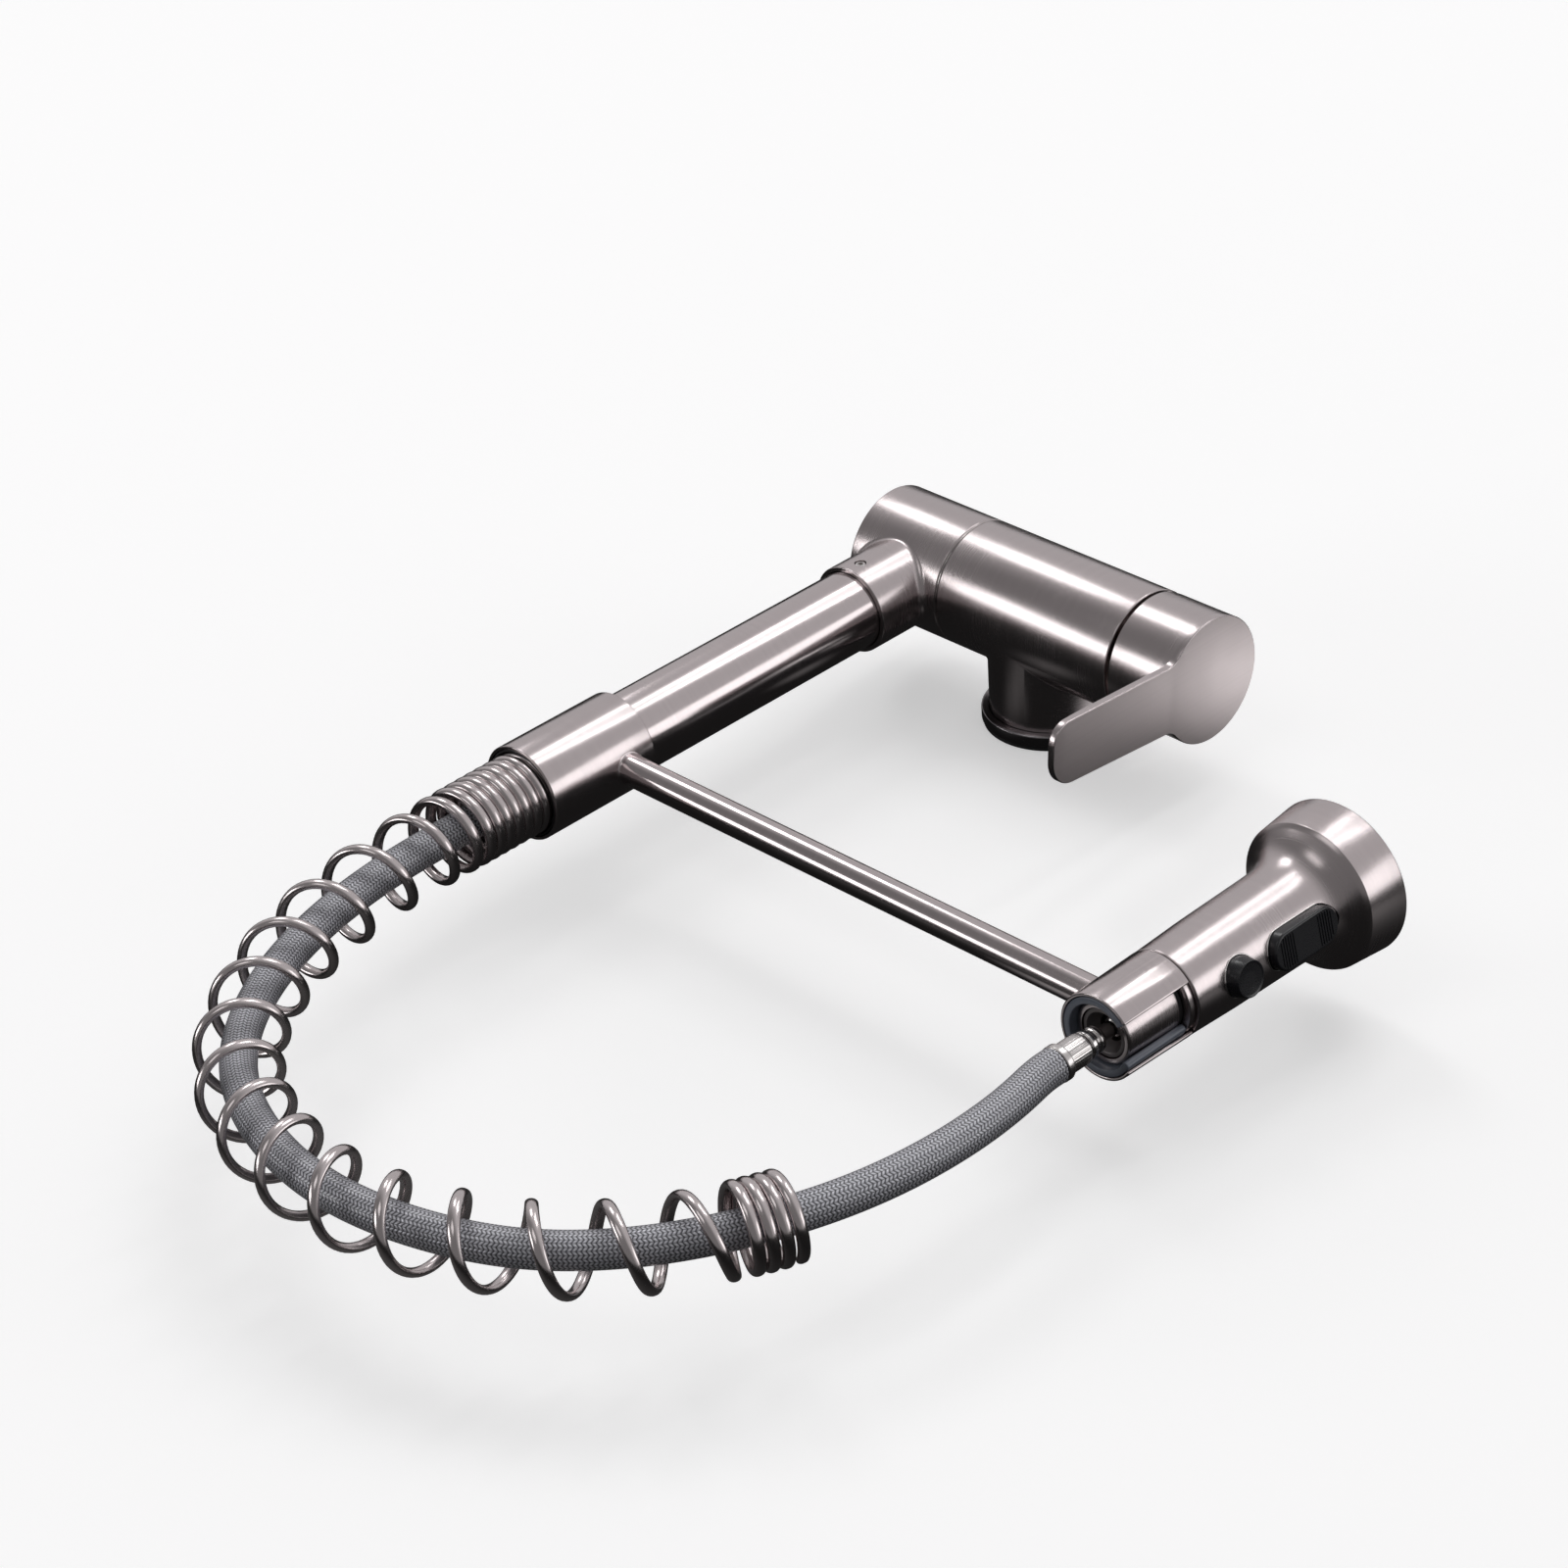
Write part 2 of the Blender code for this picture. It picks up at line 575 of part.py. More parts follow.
def make_hose_end():
    end = hose_stop - fit
    root = hose_stop - 13.7 * mm
    crimp = hose_radius + 0.2 * mm
    profile = [(end, 2.4 * mm), (end, crimp - 0.4 * mm), (end - 0.5 * mm, crimp)]
    profile += [(end - 2.3 * mm, crimp)]
    profile += [(end - 2.8 * mm, 5.6 * mm), (end - 4.0 * mm, 5.4 * mm), (root + 1.4 * mm, 5.7 * mm)]
    profile += [(root + 0.4 * mm, 5.4 * mm), (root, 4.8 * mm), (root, 2.4 * mm)]
    turned("hose_ferrule", profile, "Y", head_axis, "steel", "pull_axis", steps=20)
    top = root - fit
    neck = [(top, 2.0 * mm), (top, 4.4 * mm), (top - 0.6 * mm, 5.1 * mm)]
    neck += [(top - 2.2 * mm, 5.1 * mm), (top - 2.8 * mm, 4.2 * mm), (top - 4.0 * mm, 4.0 * mm)]
    neck += [(top - 4.6 * mm, 4.7 * mm), (top - 6.2 * mm, 4.6 * mm), (top - 7.0 * mm, 3.3 * mm)]
    ball_at = tail_end - 8.4 * mm
    ball = 5.2 * mm
    for degrees in range(38, 158, 30):
        a = math.radians(degrees)
        neck.append((ball_at + ball * math.cos(a), ball * math.sin(a)))
    neck.append((ball_at - ball * 0.9, 2.0 * mm))
    turned("ball_fitting", neck, "Y", head_axis, "steel", "pull_axis", steps=16)


def make_head():
    end = tail_end
    front = shoulder_end + 1.75 * mm
    neck = 10.0 * mm
    seat = end - 15 * mm
    bore = tail_radius - 2.2 * mm
    profile = [(end, bore), (end, tail_radius - 1.9 * mm), (end - 0.5 * mm, tail_radius - 1.1 * mm)]
    profile += [(end - 1.5 * mm, tail_radius - 0.45 * mm), (end - 3.2 * mm, tail_radius)]
    profile += [(front + 1.2 * mm, tail_radius + 0.45 * mm)]
    profile += [(front, tail_radius + 0.1 * mm), (front, neck)]
    profile += [(head_rear - 6.8 * mm, neck), (head_rear - 6.8 * mm, 5.2 * mm), (seat, 5.2 * mm)]
    profile += [(seat, bore)]
    turned("head_tail", profile, "Y", head_axis, "nickel", "spin_axis", steps=28)
    nut_end = bore - fit
    nut = [(end - 0.6 * mm, 4.7 * mm), (end - 0.6 * mm, nut_end - 0.9 * mm), (end - 1.5 * mm, nut_end)]
    nut += [(end - 9 * mm, nut_end), (end - 9 * mm, 5.7 * mm), (end - 2.8 * mm, 5.7 * mm)]
    nut += [(end - 2.2 * mm, 4.7 * mm)]
    turned("swivel_nut", nut, "Y", head_axis, "steel", "spin_axis", steps=20)
    tube("ball_seat_washer", seat + fit, seat + 1.1 * mm, 2.6 * mm, nut_end, "Y", head_axis, "rubber",
         "spin_axis", steps=20)
    tube("check_valve", head_rear - 5.3 * mm, seat - 0.4 * mm, 2.2 * mm, 4.9 * mm, "Y", head_axis,
         "white_plastic", "spin_axis", steps=16)
    o_ring("tail_o_ring", shoulder_end + 0.9 * mm, neck + 1.25 * mm, 0.75 * mm, "Y", head_axis,
           "spin_axis", steps=24)
    tube("shoulder_ring", head_rear + fit, shoulder_end, neck + fit, shoulder_radius, "Y", head_axis,
         "steel", "spin_axis", steps=32)
    make_head_shell(neck)
    make_head_core()
    make_nozzle()
    make_buttons()


def make_head_shell(neck):
    waist = head_waist_radius
    rim = rim_rear
    outer = [(head_rear, head_rear_radius - 0.4 * mm), (head_rear - 0.4 * mm, head_rear_radius)]
    outer += [(button_at - 2.1 * mm, head_rear_radius + 0.55 * (waist - head_rear_radius))]
    outer += [(rim + 21 * mm, waist - 0.1 * mm), (rim + 15 * mm, waist + 0.5 * mm)]
    outer += [(rim + 11 * mm, waist + 1.7 * mm), (rim + 7.6 * mm, waist + 3.8 * mm)]
    outer += [(rim + 5.3 * mm, waist + 6.2 * mm), (rim + 3.4 * mm, rim_rear_radius - 1.6 * mm)]
    outer += [(rim + 1.6 * mm, rim_rear_radius - 0.5 * mm), (rim, rim_rear_radius)]
    outer += [(head_front + 0.5 * mm, rim_radius), (head_front, rim_radius - 0.4 * mm)]
    inner = [(head_front, rim_radius - head_wall), (rim - 1 * mm, rim_rear_radius - head_wall)]
    inner += [(rim + 2.2 * mm, rim_rear_radius - head_wall - 1.6 * mm)]
    inner += [(rim + 6.2 * mm, waist + 1.2 * mm), (rim + 12 * mm, waist - 1.3 * mm)]
    inner += [(rim + 19 * mm, core_radius + fit), (head_rear - 4.8 * mm, core_radius + fit)]
    inner += [(head_rear - 4.8 * mm, neck + fit), (head_rear, neck + fit)]
    shell = turned("head_shell", outer + inner, "Y", head_axis, "nickel", "spin_axis", steps=32)
    cut(shell, radial_disc("hole", button_radius + fit, 10 * mm, 30 * mm, button_at))
    cut(shell, radial_stadium("slot", rocker_length / 2 + end_play, rocker_width / 2 + fit,
                              10 * mm, 34 * mm, rocker_at))


def radial_disc(name, radius, low, high, station, look=None, parent=None, profile=None):
    """A round piece standing out of the head's side."""
    shape = profile or [(low, 0.0), (low, radius), (high, radius), (high, 0.0)]
    piece = turned(name, shape, "X", head_axis, look, None, steps=24)
    piece.data.transform(outward @ Matrix.Translation((0, -station, 0)))
    if parent:
        piece.data.transform(Matrix.Translation(head_axis - frames[parent][1]))
        piece.location = frames[parent][1]
        hang(piece, parent)
    return piece


def stadium(half_length, half_width, arc=8):
    """Outline with a round end each way, in the Y and Z plane."""
    straight = half_length - half_width
    points = []
    for side in (1, -1):
        for i in range(arc + 1):
            a = math.pi * (i / arc - 0.5) + (0 if side > 0 else math.pi)
            points.append(Vector((0, side * straight + half_width * math.cos(a), half_width * math.sin(a))))
    return points


def radial_stadium(name, half_length, half_width, low, high, station, look=None):
    piece = extruded(name, stadium(half_length, half_width), Vector((high - low, 0, 0)),
                     Vector((low, -station, 0)), head_axis, look)
    piece.data.transform(outward)
    return piece


def make_head_core():
    """The moulded valve body inside the shell, with the pockets for the buttons."""
    low = rim_rear - 1.4 * mm
    high = head_rear - 7.2 * mm
    core = tube("head_core", low, high, 4.2 * mm, core_radius, "Y", head_axis, "white_plastic",
                "spin_axis", steps=32)
    cut(core, radial_disc("pocket", button_radius + fit, 7.6 * mm, 30 * mm, button_at))
    cut(core, radial_stadium("pocket", rocker_length / 2 + end_play, rocker_width / 2 + fit,
                             9.0 * mm, 30 * mm, rocker_at))


def make_nozzle():
    """Spray plate with its nubs, the plate behind it and the aerator."""
    back = rim_rear - 1.7 * mm
    plate_back = back - 5.7 * mm
    shell_inside = rim_rear_radius - head_wall
    tube("spray_housing", plate_back + fit, back, aerator_radius + fit, shell_inside - 0.7 * mm,
         "Y", head_axis, "black_plastic", "spin_axis", steps=24)
    face = tube("spray_face", head_front + 2.4 * mm, plate_back, aerator_radius + fit,
                shell_inside - 0.1 * mm, "Y", head_axis, "black_plastic", "spin_axis", steps=32)
    nubs = bmesh.new()
    for ring, count in ((14.6 * mm, 8), (20.8 * mm, 14)):
        for i in range(count):
            a = math.tau * i / count
            spot = Matrix.Translation((ring * math.cos(a), -(head_front + 2.4 * mm), ring * math.sin(a)))
            stand = spot @ Matrix.Rotation(-math.pi / 2, 4, "X")
            bmesh.ops.create_cone(nubs, cap_ends=True, segments=6, radius1=1.1 * mm, radius2=0.8 * mm,
                                  depth=2.4 * mm, matrix=stand)
    combine(face, finish("nubs", nubs, None, head_axis), "UNION")
    profile = [(back, 0.0), (back, aerator_radius), (head_front + 2.9 * mm, aerator_radius)]
    profile += [(head_front + 1.6 * mm, aerator_radius - 1.0 * mm), (head_front + 1.6 * mm, 6.5 * mm)]
    profile += [(head_front + 4.0 * mm, 6.2 * mm), (head_front + 4.0 * mm, 0.0)]
    turned("aerator", profile, "Y", head_axis, "grey_plastic", "spin_axis", steps=24)


def make_buttons():
    surface = head_rear_radius + 0.5 * (head_waist_radius - head_rear_radius)
    top = surface + button_rise
    face = button_radius - 1.0 * mm
    profile = [(11.6 * mm, 0.0), (11.6 * mm, button_radius), (surface + 0.6 * mm, button_radius)]
    profile += [(top - 0.5 * mm, face + 0.2 * mm), (top, face - 0.2 * mm), (top - 0.5 * mm, face - 1.4 * mm)]
    profile += [(top - 0.8 * mm, face * 0.5), (top - 0.9 * mm, 0.0)]
    radial_disc("pause_button", button_radius, 0, 0, button_at, "black_plastic", "pause_axis", profile)
    crown = head_waist_radius + rocker_rise
    half_length = rocker_length / 2
    half_width = rocker_width / 2
    rocker = radial_stadium("mode_rocker", half_length, half_width, 12.8 * mm, crown, rocker_at,
                            "black_plastic")
    ease = 0.7 * mm
    bm = bmesh.new()
    bm.from_mesh(rocker.data)
    inward = outward.inverted()
    top_edges = [e for e in bm.edges if all((inward @ v.co).x > crown - 0.1 * mm for v in e.verts)]
    bmesh.ops.bevel(bm, geom=top_edges, offset=ease, offset_type="OFFSET", segments=2, profile=0.5,
                    affect="EDGES", material=-1)
    bm.to_mesh(rocker.data)
    bm.free()
    for side in (-1, 1):
        for i in range(4):
            y = side * (half_length - (4.0 + 2.0 * i) * mm)
            low = (crown - 0.5 * mm, y - 0.35 * mm - rocker_at, -half_width * 0.55)
            high = (crown + 2 * mm, y + 0.35 * mm - rocker_at, half_width * 0.55)
            cut(rocker, swing(box("groove", low, high, head_axis), outward))
    rocker.data.transform(Matrix.Translation(head_axis - frames["rocker_axis"][1]))
    rocker.location = frames["rocker_axis"][1]
    hang(rocker, "rocker_axis")


def paddle_outline():
    """Face outline of the paddle with its hollow fillets into the round cap."""
    root = 7.5 * mm
    tip_top = 8.5 * mm
    tip_low = 11.0 * mm
    points = []
    slope = (paddle_half_root - paddle_half_tip) / (paddle_reach - body_radius)
    inner = body_radius - 0.35 * mm
    for side, corner in ((1, tip_top), (-1, tip_low)):
        edge = []
        fillet_w = paddle_half_root + root
        fillet_u = math.sqrt((inner + root) ** 2 - fillet_w ** 2)
        start = math.atan2(-fillet_w, -fillet_u)
        for i in range(7):
            a = start + (-math.pi / 2 - start) * i / 6
            edge.append((fillet_u + root * math.cos(a), fillet_w + root * math.sin(a)))
        corner_w = paddle_half_root - slope * (paddle_reach - corner - fillet_u) - corner
        for i in range(9):
            a = math.pi / 2 * (1 - i / 8)
            edge.append((paddle_reach - corner + corner * math.cos(a), corner_w + corner * math.sin(a)))
        edge = [(u, side * w) for u, w in edge]
        points += edge if side > 0 else edge[::-1]
    points += [(8 * mm, -10 * mm), (8 * mm, 10 * mm)]
    return points


def make_lever():
    lift = Matrix.Rotation(-math.radians(paddle_lift), 4, "X")
    profile = [(face_x, 0.0), (face_x, body_radius - 0.25 * mm), (face_x - 0.25 * mm, body_radius)]
    profile += [(skirt_x, body_radius), (skirt_x, body_radius - skirt_wall)]
    profile += [(face_x - 7 * mm, body_radius - skirt_wall), (face_x - 7 * mm, 8 * mm)]
    profile += [(boss_low, 8 * mm), (boss_low, stem_radius + fit), (face_x - 6.7 * mm, stem_radius + fit)]
    profile += [(face_x - 6.7 * mm, 0.0)]
    handle = turned("lever_handle", profile, "X", level, "nickel", None, steps=40)
    flat = [Vector((0, -u, w)) for u, w in paddle_outline()]
    plate = extruded("plate", flat, Vector((paddle_thickness, 0, 0)),
                     Vector((face_x - paddle_thickness, 0, 0)), level)
    combine(handle, swing(plate, lift), "UNION")
    rise = math.radians(tilt_open)
    start = tilt_x + (body_right + 0.9 * mm - tilt_x) / math.cos(rise)
    wedge = [Vector((start + t * math.tan(rise), t, 0)) for t in (-4 * mm, 40 * mm)]
    wedge += [Vector((30 * mm, 40 * mm, 0)), Vector((30 * mm, -4 * mm, 0))]
    relief = extruded("relief", wedge, Vector((0, 0, 80 * mm)), Vector((0, 0, -40 * mm)), level)
    cut(handle, swing(relief, lift))
    side_hole = rod("hole", -30 * mm, -stem_radius, 1.9 * mm, "Z", level + Vector((screw_x, 0, 0)), steps=12)
    cut(handle, side_hole)
    move_to_frame(handle, "tilt_axis")
    spot = level + Vector((screw_x, 0, 0))
    screw = rod("handle_set_screw", -7.6 * mm, -stem_radius - fit, 1.6 * mm, "Z", spot, "steel",
                None, 12)
    move_to_frame(screw, "tilt_axis")
    plug = rod("index_plug", -body_radius + 0.1 * mm, -body_radius + skirt_wall, 1.6 * mm, "Z", spot,
               "red_plastic", None, 12)
    move_to_frame(plug, "tilt_axis")
    stem = rod("cartridge_stem", tilt_x - 6.5 * mm, face_x - 7.2 * mm, stem_radius, "X", level, "brass",
               None, 16)
    pin_hole = rod("hole", -20 * mm, 20 * mm, pin_radius + fit, "Z", level + Vector((tilt_x, 0, 0)),
                   steps=12)
    cut(stem, swing_at(pin_hole, lift))
    move_to_frame(stem, "tilt_axis")


def swing_at(obj, matrix):
    """Turns a mesh about the body's axis wherever its origin lies."""
    shift = Matrix.Translation(obj.location - level)
    obj.data.transform(shift.inverted() @ matrix @ shift)
    return obj


def move_to_frame(obj, parent):
    obj.data.transform(Matrix.Translation(obj.location - frames[parent][1]))
    obj.location = frames[parent][1]
    hang(obj, parent)


def make_cartridge():
    lift = Matrix.Rotation(-math.radians(paddle_lift), 4, "X")
    profile = [(cartridge_left, cavity_radius), (cartridge_left, cartridge_radius)]
    profile += [(nut_left - fit, cartridge_radius), (nut_left - fit, turret_radius + fit)]
    profile += [(24 * mm, turret_radius + fit), (24 * mm, cavity_radius)]
    turned("cartridge_housing", profile, "X", level, "white_plastic", None, 24)
    disc = tube("ceramic_disc_fixed", cartridge_left + fit, 14 * mm, 2.5 * mm, cavity_radius - fit,
                "X", level, "ceramic", None, 18)
    port = rod("port", 0.0, 30 * mm, 2.2 * mm, "X", level + Vector((0, 7.5 * mm, 0)), steps=10)
    cut(disc, port)
    tube("bonnet_nut", nut_left, nut_right, turret_radius + 2 * fit, cartridge_radius, "X", level, "brass",
         None, 24)
    moving = tube("ceramic_disc_moving", 14 * mm + fit, 18 * mm, 2.0 * mm, cavity_radius - 2.2 * mm,
                  "X", level, "ceramic", None, 18)
    move_to_frame(moving, "turn_axis")
    carrier = tube("disc_carrier", 18 * mm + fit, 23.7 * mm, 2.0 * mm, cavity_radius - 1.7 * mm,
                   "X", level, "black_plastic", None, 18)
    move_to_frame(carrier, "turn_axis")
    turret = rod("cartridge_turret", 24 * mm, turret_top, turret_radius, "X", level, "white_plastic",
                 None, 24)
    slot = box("slot", (tilt_x - 8 * mm, -6.4 * mm, -stem_radius - fit),
               (turret_top + 2 * mm, 6.4 * mm, stem_radius + fit), level)
    cut(turret, swing(slot, lift))
    pin_hole = rod("hole", -20 * mm, 20 * mm, pin_radius + fit, "Z", level + Vector((tilt_x, 0, 0)),
                   steps=12)
    cut(turret, swing_at(pin_hole, lift))
    move_to_frame(turret, "turn_axis")
    pin = rod("lever_pivot_pin", -turret_radius + 0.6 * mm, turret_radius - 0.6 * mm, pin_radius, "Z",
              level + Vector((tilt_x, 0, 0)), "steel", None, 12)
    swing_at(pin, lift)
    move_to_frame(pin, "turn_axis")


clear_scene()
joint_frame("fold_axis", riser_axis)
joint_frame("swivel_axis", riser_axis, "fold_axis")
joint_frame("pull_axis", head_axis, "swivel_axis")
joint_frame("spin_axis", head_axis, "pull_axis")
tilt = math.radians(head_turn)
toward = Vector((math.cos(tilt), 0, math.sin(tilt)))
joint_frame("pause_axis", head_axis + toward * 17 * mm + Vector((0, -button_at, 0)), "spin_axis")
joint_frame("rocker_axis", head_axis + toward * 16.5 * mm + Vector((0, -rocker_at, 0)), "spin_axis")
joint_frame("turn_axis", level + Vector((tilt_x, 0, 0)))
joint_frame("tilt_axis", level + Vector((tilt_x, 0, 0)), "turn_axis")
make_base()
make_spigot()
make_collar()
make_riser()
make_clip()
make_hose()
make_hose_end()
make_head()
make_cartridge()
make_lever()
bpy.context.view_layer.update()
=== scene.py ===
import math

import bmesh
import bpy
import numpy as np
from mathutils import Matrix, Vector


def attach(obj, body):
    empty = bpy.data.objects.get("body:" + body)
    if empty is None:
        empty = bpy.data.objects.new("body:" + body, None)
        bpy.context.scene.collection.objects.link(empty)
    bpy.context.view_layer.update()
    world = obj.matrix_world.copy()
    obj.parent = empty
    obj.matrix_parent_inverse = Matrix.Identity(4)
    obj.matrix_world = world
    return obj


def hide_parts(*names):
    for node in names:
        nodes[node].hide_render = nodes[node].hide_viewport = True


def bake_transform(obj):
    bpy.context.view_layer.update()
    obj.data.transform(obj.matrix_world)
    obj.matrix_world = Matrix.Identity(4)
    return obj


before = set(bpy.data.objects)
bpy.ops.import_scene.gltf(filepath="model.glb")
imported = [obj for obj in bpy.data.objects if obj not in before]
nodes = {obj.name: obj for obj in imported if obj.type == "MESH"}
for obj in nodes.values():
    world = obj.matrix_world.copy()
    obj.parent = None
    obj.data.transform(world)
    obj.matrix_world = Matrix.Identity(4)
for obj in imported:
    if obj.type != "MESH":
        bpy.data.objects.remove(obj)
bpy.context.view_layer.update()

scene = bpy.context.scene
mm = 0.001

# The faucet's main lines, in millimetres from the middle of its foot.
lines = {
    "level": 46.4,        # height of the body's axis
    "riserX": -58.5,
    "headX": 198.4,
    "bodyRadius": 25.0,
    "teeRadius": 17.45,
    "hoseStart": 189.3,
    "hoseStop": 217.9,
    "gap": 0.3,
}
level, riserX, headX, gap = (lines[k] for k in ("level", "riserX", "headX", "gap"))
bodyAxis = Vector((0, 0, level)) * mm
riserAxis = Vector((riserX, 0, level)) * mm
headAxis = Vector((headX, 0, level)) * mm
axes = {
    "X": (Vector((1, 0, 0)), Vector((0, 0, 1))),
    "Y": (Vector((0, -1, 0)), Vector((0, 0, 1))),
    "Z": (Vector((0, 0, 1)), Vector((-1, 0, 0))),
}


# ---- shader groups used by more than one finish

def newGroup(name, inputs, outputs):
    group = bpy.data.node_groups.new(name, "ShaderNodeTree")
    for label, kind, value in inputs:
        socket = group.interface.new_socket(name=label, in_out="INPUT", socket_type=kind)
        if value is not None:
            socket.default_value = value
    for label, kind in outputs:
        group.interface.new_socket(name=label, in_out="OUTPUT", socket_type=kind)
    return group, group.nodes.new("NodeGroupInput"), group.nodes.new("NodeGroupOutput")


def mathNode(tree, operation, first, second=None, third=None):
    node = tree.nodes.new("ShaderNodeMath")
    node.operation = operation
    for socket, value in zip(node.inputs, (first, second, third)):
        if value is not None:
            setOrLink(tree, socket, value)
    return node.outputs[0]


def setOrLink(tree, socket, value):
    if isinstance(value, (int, float)):
        socket.default_value = value
    else:
        tree.links.new(value, socket)


def mapRange(tree, source, fromRange, toRange=(0, 1), smooth=False):
    node = tree.nodes.new("ShaderNodeMapRange")
    if smooth:
        node.interpolation_type = "SMOOTHSTEP"
    for label, value in zip(("From Min", "From Max", "To Min", "To Max"),
                            (*fromRange, *toRange)):
        setOrLink(tree, node.inputs[label], value)
    tree.links.new(source, node.inputs["Value"])
    return node.outputs[0]


def noiseNode(tree, vector, scale, detail):
    noise = tree.nodes.new("ShaderNodeTexNoise")
    setOrLink(tree, noise.inputs["Scale"], scale)
    noise.inputs["Detail"].default_value = detail
    tree.links.new(vector, noise.inputs["Vector"])
    return noise


def relief(tree, shader, height, depth, strength):
    bump = tree.nodes.new("ShaderNodeBump")
    bump.inputs["Strength"].default_value = strength
    bump.inputs["Distance"].default_value = depth * mm
    tree.links.new(height, bump.inputs["Height"])
    tree.links.new(bump.outputs["Normal"], shader.inputs["Normal"])


def makeBrushLines():
    # fine lines that run round or along a piece, dense across them and long the other way
    group, into, out = newGroup("brushLines", [
        ("Vector", "NodeSocketVector", None),
        ("Density", "NodeSocketVector", (3000.0, 20.0, 20.0)),
    ], [("Lines", "NodeSocketFloat"), ("Bands", "NodeSocketFloat")])
    stretch = group.nodes.new("ShaderNodeVectorMath")
    stretch.operation = "MULTIPLY"
    group.links.new(into.outputs["Vector"], stretch.inputs[0])
    group.links.new(into.outputs["Density"], stretch.inputs[1])
    for scale, detail, label in ((1.0, 4.0, "Lines"), (0.22, 2.0, "Bands")):
        noise = noiseNode(group, stretch.outputs[0], scale, detail)
        noise.inputs["Roughness"].default_value = 0.65
        group.links.new(noise.outputs[0], out.inputs[label])
    return group


def makeSmudge():
    # faint cloudy handling marks
    group, into, out = newGroup("handlingSmudge", [
        ("Vector", "NodeSocketVector", None),
        ("Size", "NodeSocketFloat", 45.0),
    ], [("Mask", "NodeSocketFloat")])
    noise = noiseNode(group, into.outputs["Vector"], into.outputs["Size"], 3.0)
    group.links.new(mapRange(group, noise.outputs[0], (0.42, 0.68)), out.inputs["Mask"])
    return group


def makeEdgePolishAndHighlight():
    # a mask where edges stand out: the looks make these edges smoother and paint their colour
    # lighter, a painted highlight
    group, into, out = newGroup("edgePolishAndHighlight", [
        ("From", "NodeSocketFloat", 0.52),
        ("To", "NodeSocketFloat", 0.60),
    ], [("Mask", "NodeSocketFloat")])
    geometry = group.nodes.new("ShaderNodeNewGeometry")
    group.links.new(mapRange(group, geometry.outputs["Pointiness"],
                             (into.outputs["From"], into.outputs["To"])), out.inputs["Mask"])
    return group


brushLines = makeBrushLines()
handlingSmudge = makeSmudge()
edgePolishAndHighlight = makeEdgePolishAndHighlight()


def groupNode(tree, group):
    node = tree.nodes.new("ShaderNodeGroup")
    node.node_tree = group
    return node


def newLook(name):
    look = bpy.data.materials.new(name)
    look.use_nodes = True
    tree = look.node_tree
    return look, tree, tree.nodes["Principled BSDF"]


def objectCoordinates(tree):
    return tree.nodes.new("ShaderNodeTexCoord").outputs["Object"]


def blendColour(tree, mask, dark, light, target):
    mix = tree.nodes.new("ShaderNodeMix")
    mix.data_type = "RGBA"
    mix.inputs["A"].default_value = (*dark, 1)
    mix.inputs["B"].default_value = (*light, 1)
    tree.links.new(mask, mix.inputs["Factor"])
    tree.links.new(mix.outputs["Result"], target)


def metalLook(name, colour, roughness, density, depth=0.022, spread=0.16, swing=0.07, polishAndHighlight=0.5):
    # brushed or turned metal: lines in the roughness, colour and relief; edges smoother, and a
    # painted highlight that lightens their colour
    look, tree, shader = newLook(name)
    place = objectCoordinates(tree)
    grain = groupNode(tree, brushLines)
    grain.inputs["Density"].default_value = density
    tree.links.new(place, grain.inputs["Vector"])
    smudge = groupNode(tree, handlingSmudge)
    tree.links.new(place, smudge.inputs["Vector"])
    edge = groupNode(tree, edgePolishAndHighlight)
    lined = mathNode(tree, "MULTIPLY_ADD", grain.outputs["Lines"], spread, roughness - spread / 2)
    clouded = mathNode(tree, "MULTIPLY_ADD", smudge.outputs["Mask"], 0.035, lined)
    worn = mathNode(tree, "MULTIPLY_ADD", edge.outputs["Mask"], -roughness * polishAndHighlight, clouded)
    tree.links.new(mathNode(tree, "MAXIMUM", worn, 0.05), shader.inputs["Roughness"])
    tone = mathNode(tree, "MULTIPLY_ADD", grain.outputs["Bands"], 0.6,
                    mathNode(tree, "MULTIPLY", grain.outputs["Lines"], 0.4))
    # the colour is lightened by the brush grain and, at edges, by a painted highlight
    grainAndEdgeHighlight = mathNode(tree, "MULTIPLY_ADD", edge.outputs["Mask"], polishAndHighlight, tone)
    blendColour(tree, grainAndEdgeHighlight, tuple(c * (1 - swing) for c in colour),
                tuple(min(c * (1 + swing * 1.4), 1) for c in colour), shader.inputs["Base Color"])
    shader.inputs["Metallic"].default_value = 1.0
    relief(tree, shader, grain.outputs["Lines"], depth, 1.0)
    return look


def mouldedLook(name, colour, roughness, grainSize=900.0, depth=0.02, coat=0.0):
    # moulded plastic, rubber or ceramic with a fine skin
    look, tree, shader = newLook(name)
    place = objectCoordinates(tree)
    noise = noiseNode(tree, place, grainSize, 3.0)
    smudge = groupNode(tree, handlingSmudge)
    tree.links.new(place, smudge.inputs["Vector"])
    edge = groupNode(tree, edgePolishAndHighlight)
    base = mathNode(tree, "MULTIPLY_ADD", noise.outputs[0], 0.12, roughness - 0.06)
    tree.links.new(mathNode(tree, "MULTIPLY_ADD", smudge.outputs["Mask"], 0.05, base),
                   shader.inputs["Roughness"])
    # the colour is lightened by the grain and, at edges, by a painted highlight
    tone = mathNode(tree, "MULTIPLY_ADD", edge.outputs["Mask"], 0.7,
                    mathNode(tree, "MULTIPLY", noise.outputs[0], 0.5))
    blendColour(tree, tone, tuple(c * 0.9 for c in colour),
                tuple(min(c * 1.25 + 0.004, 1) for c in colour), shader.inputs["Base Color"])
    relief(tree, shader, noise.outputs[0], depth, 0.3)
    shader.inputs["Coat Weight"].default_value = coat
    shader.inputs["Coat Roughness"].default_value = 0.12
    return look


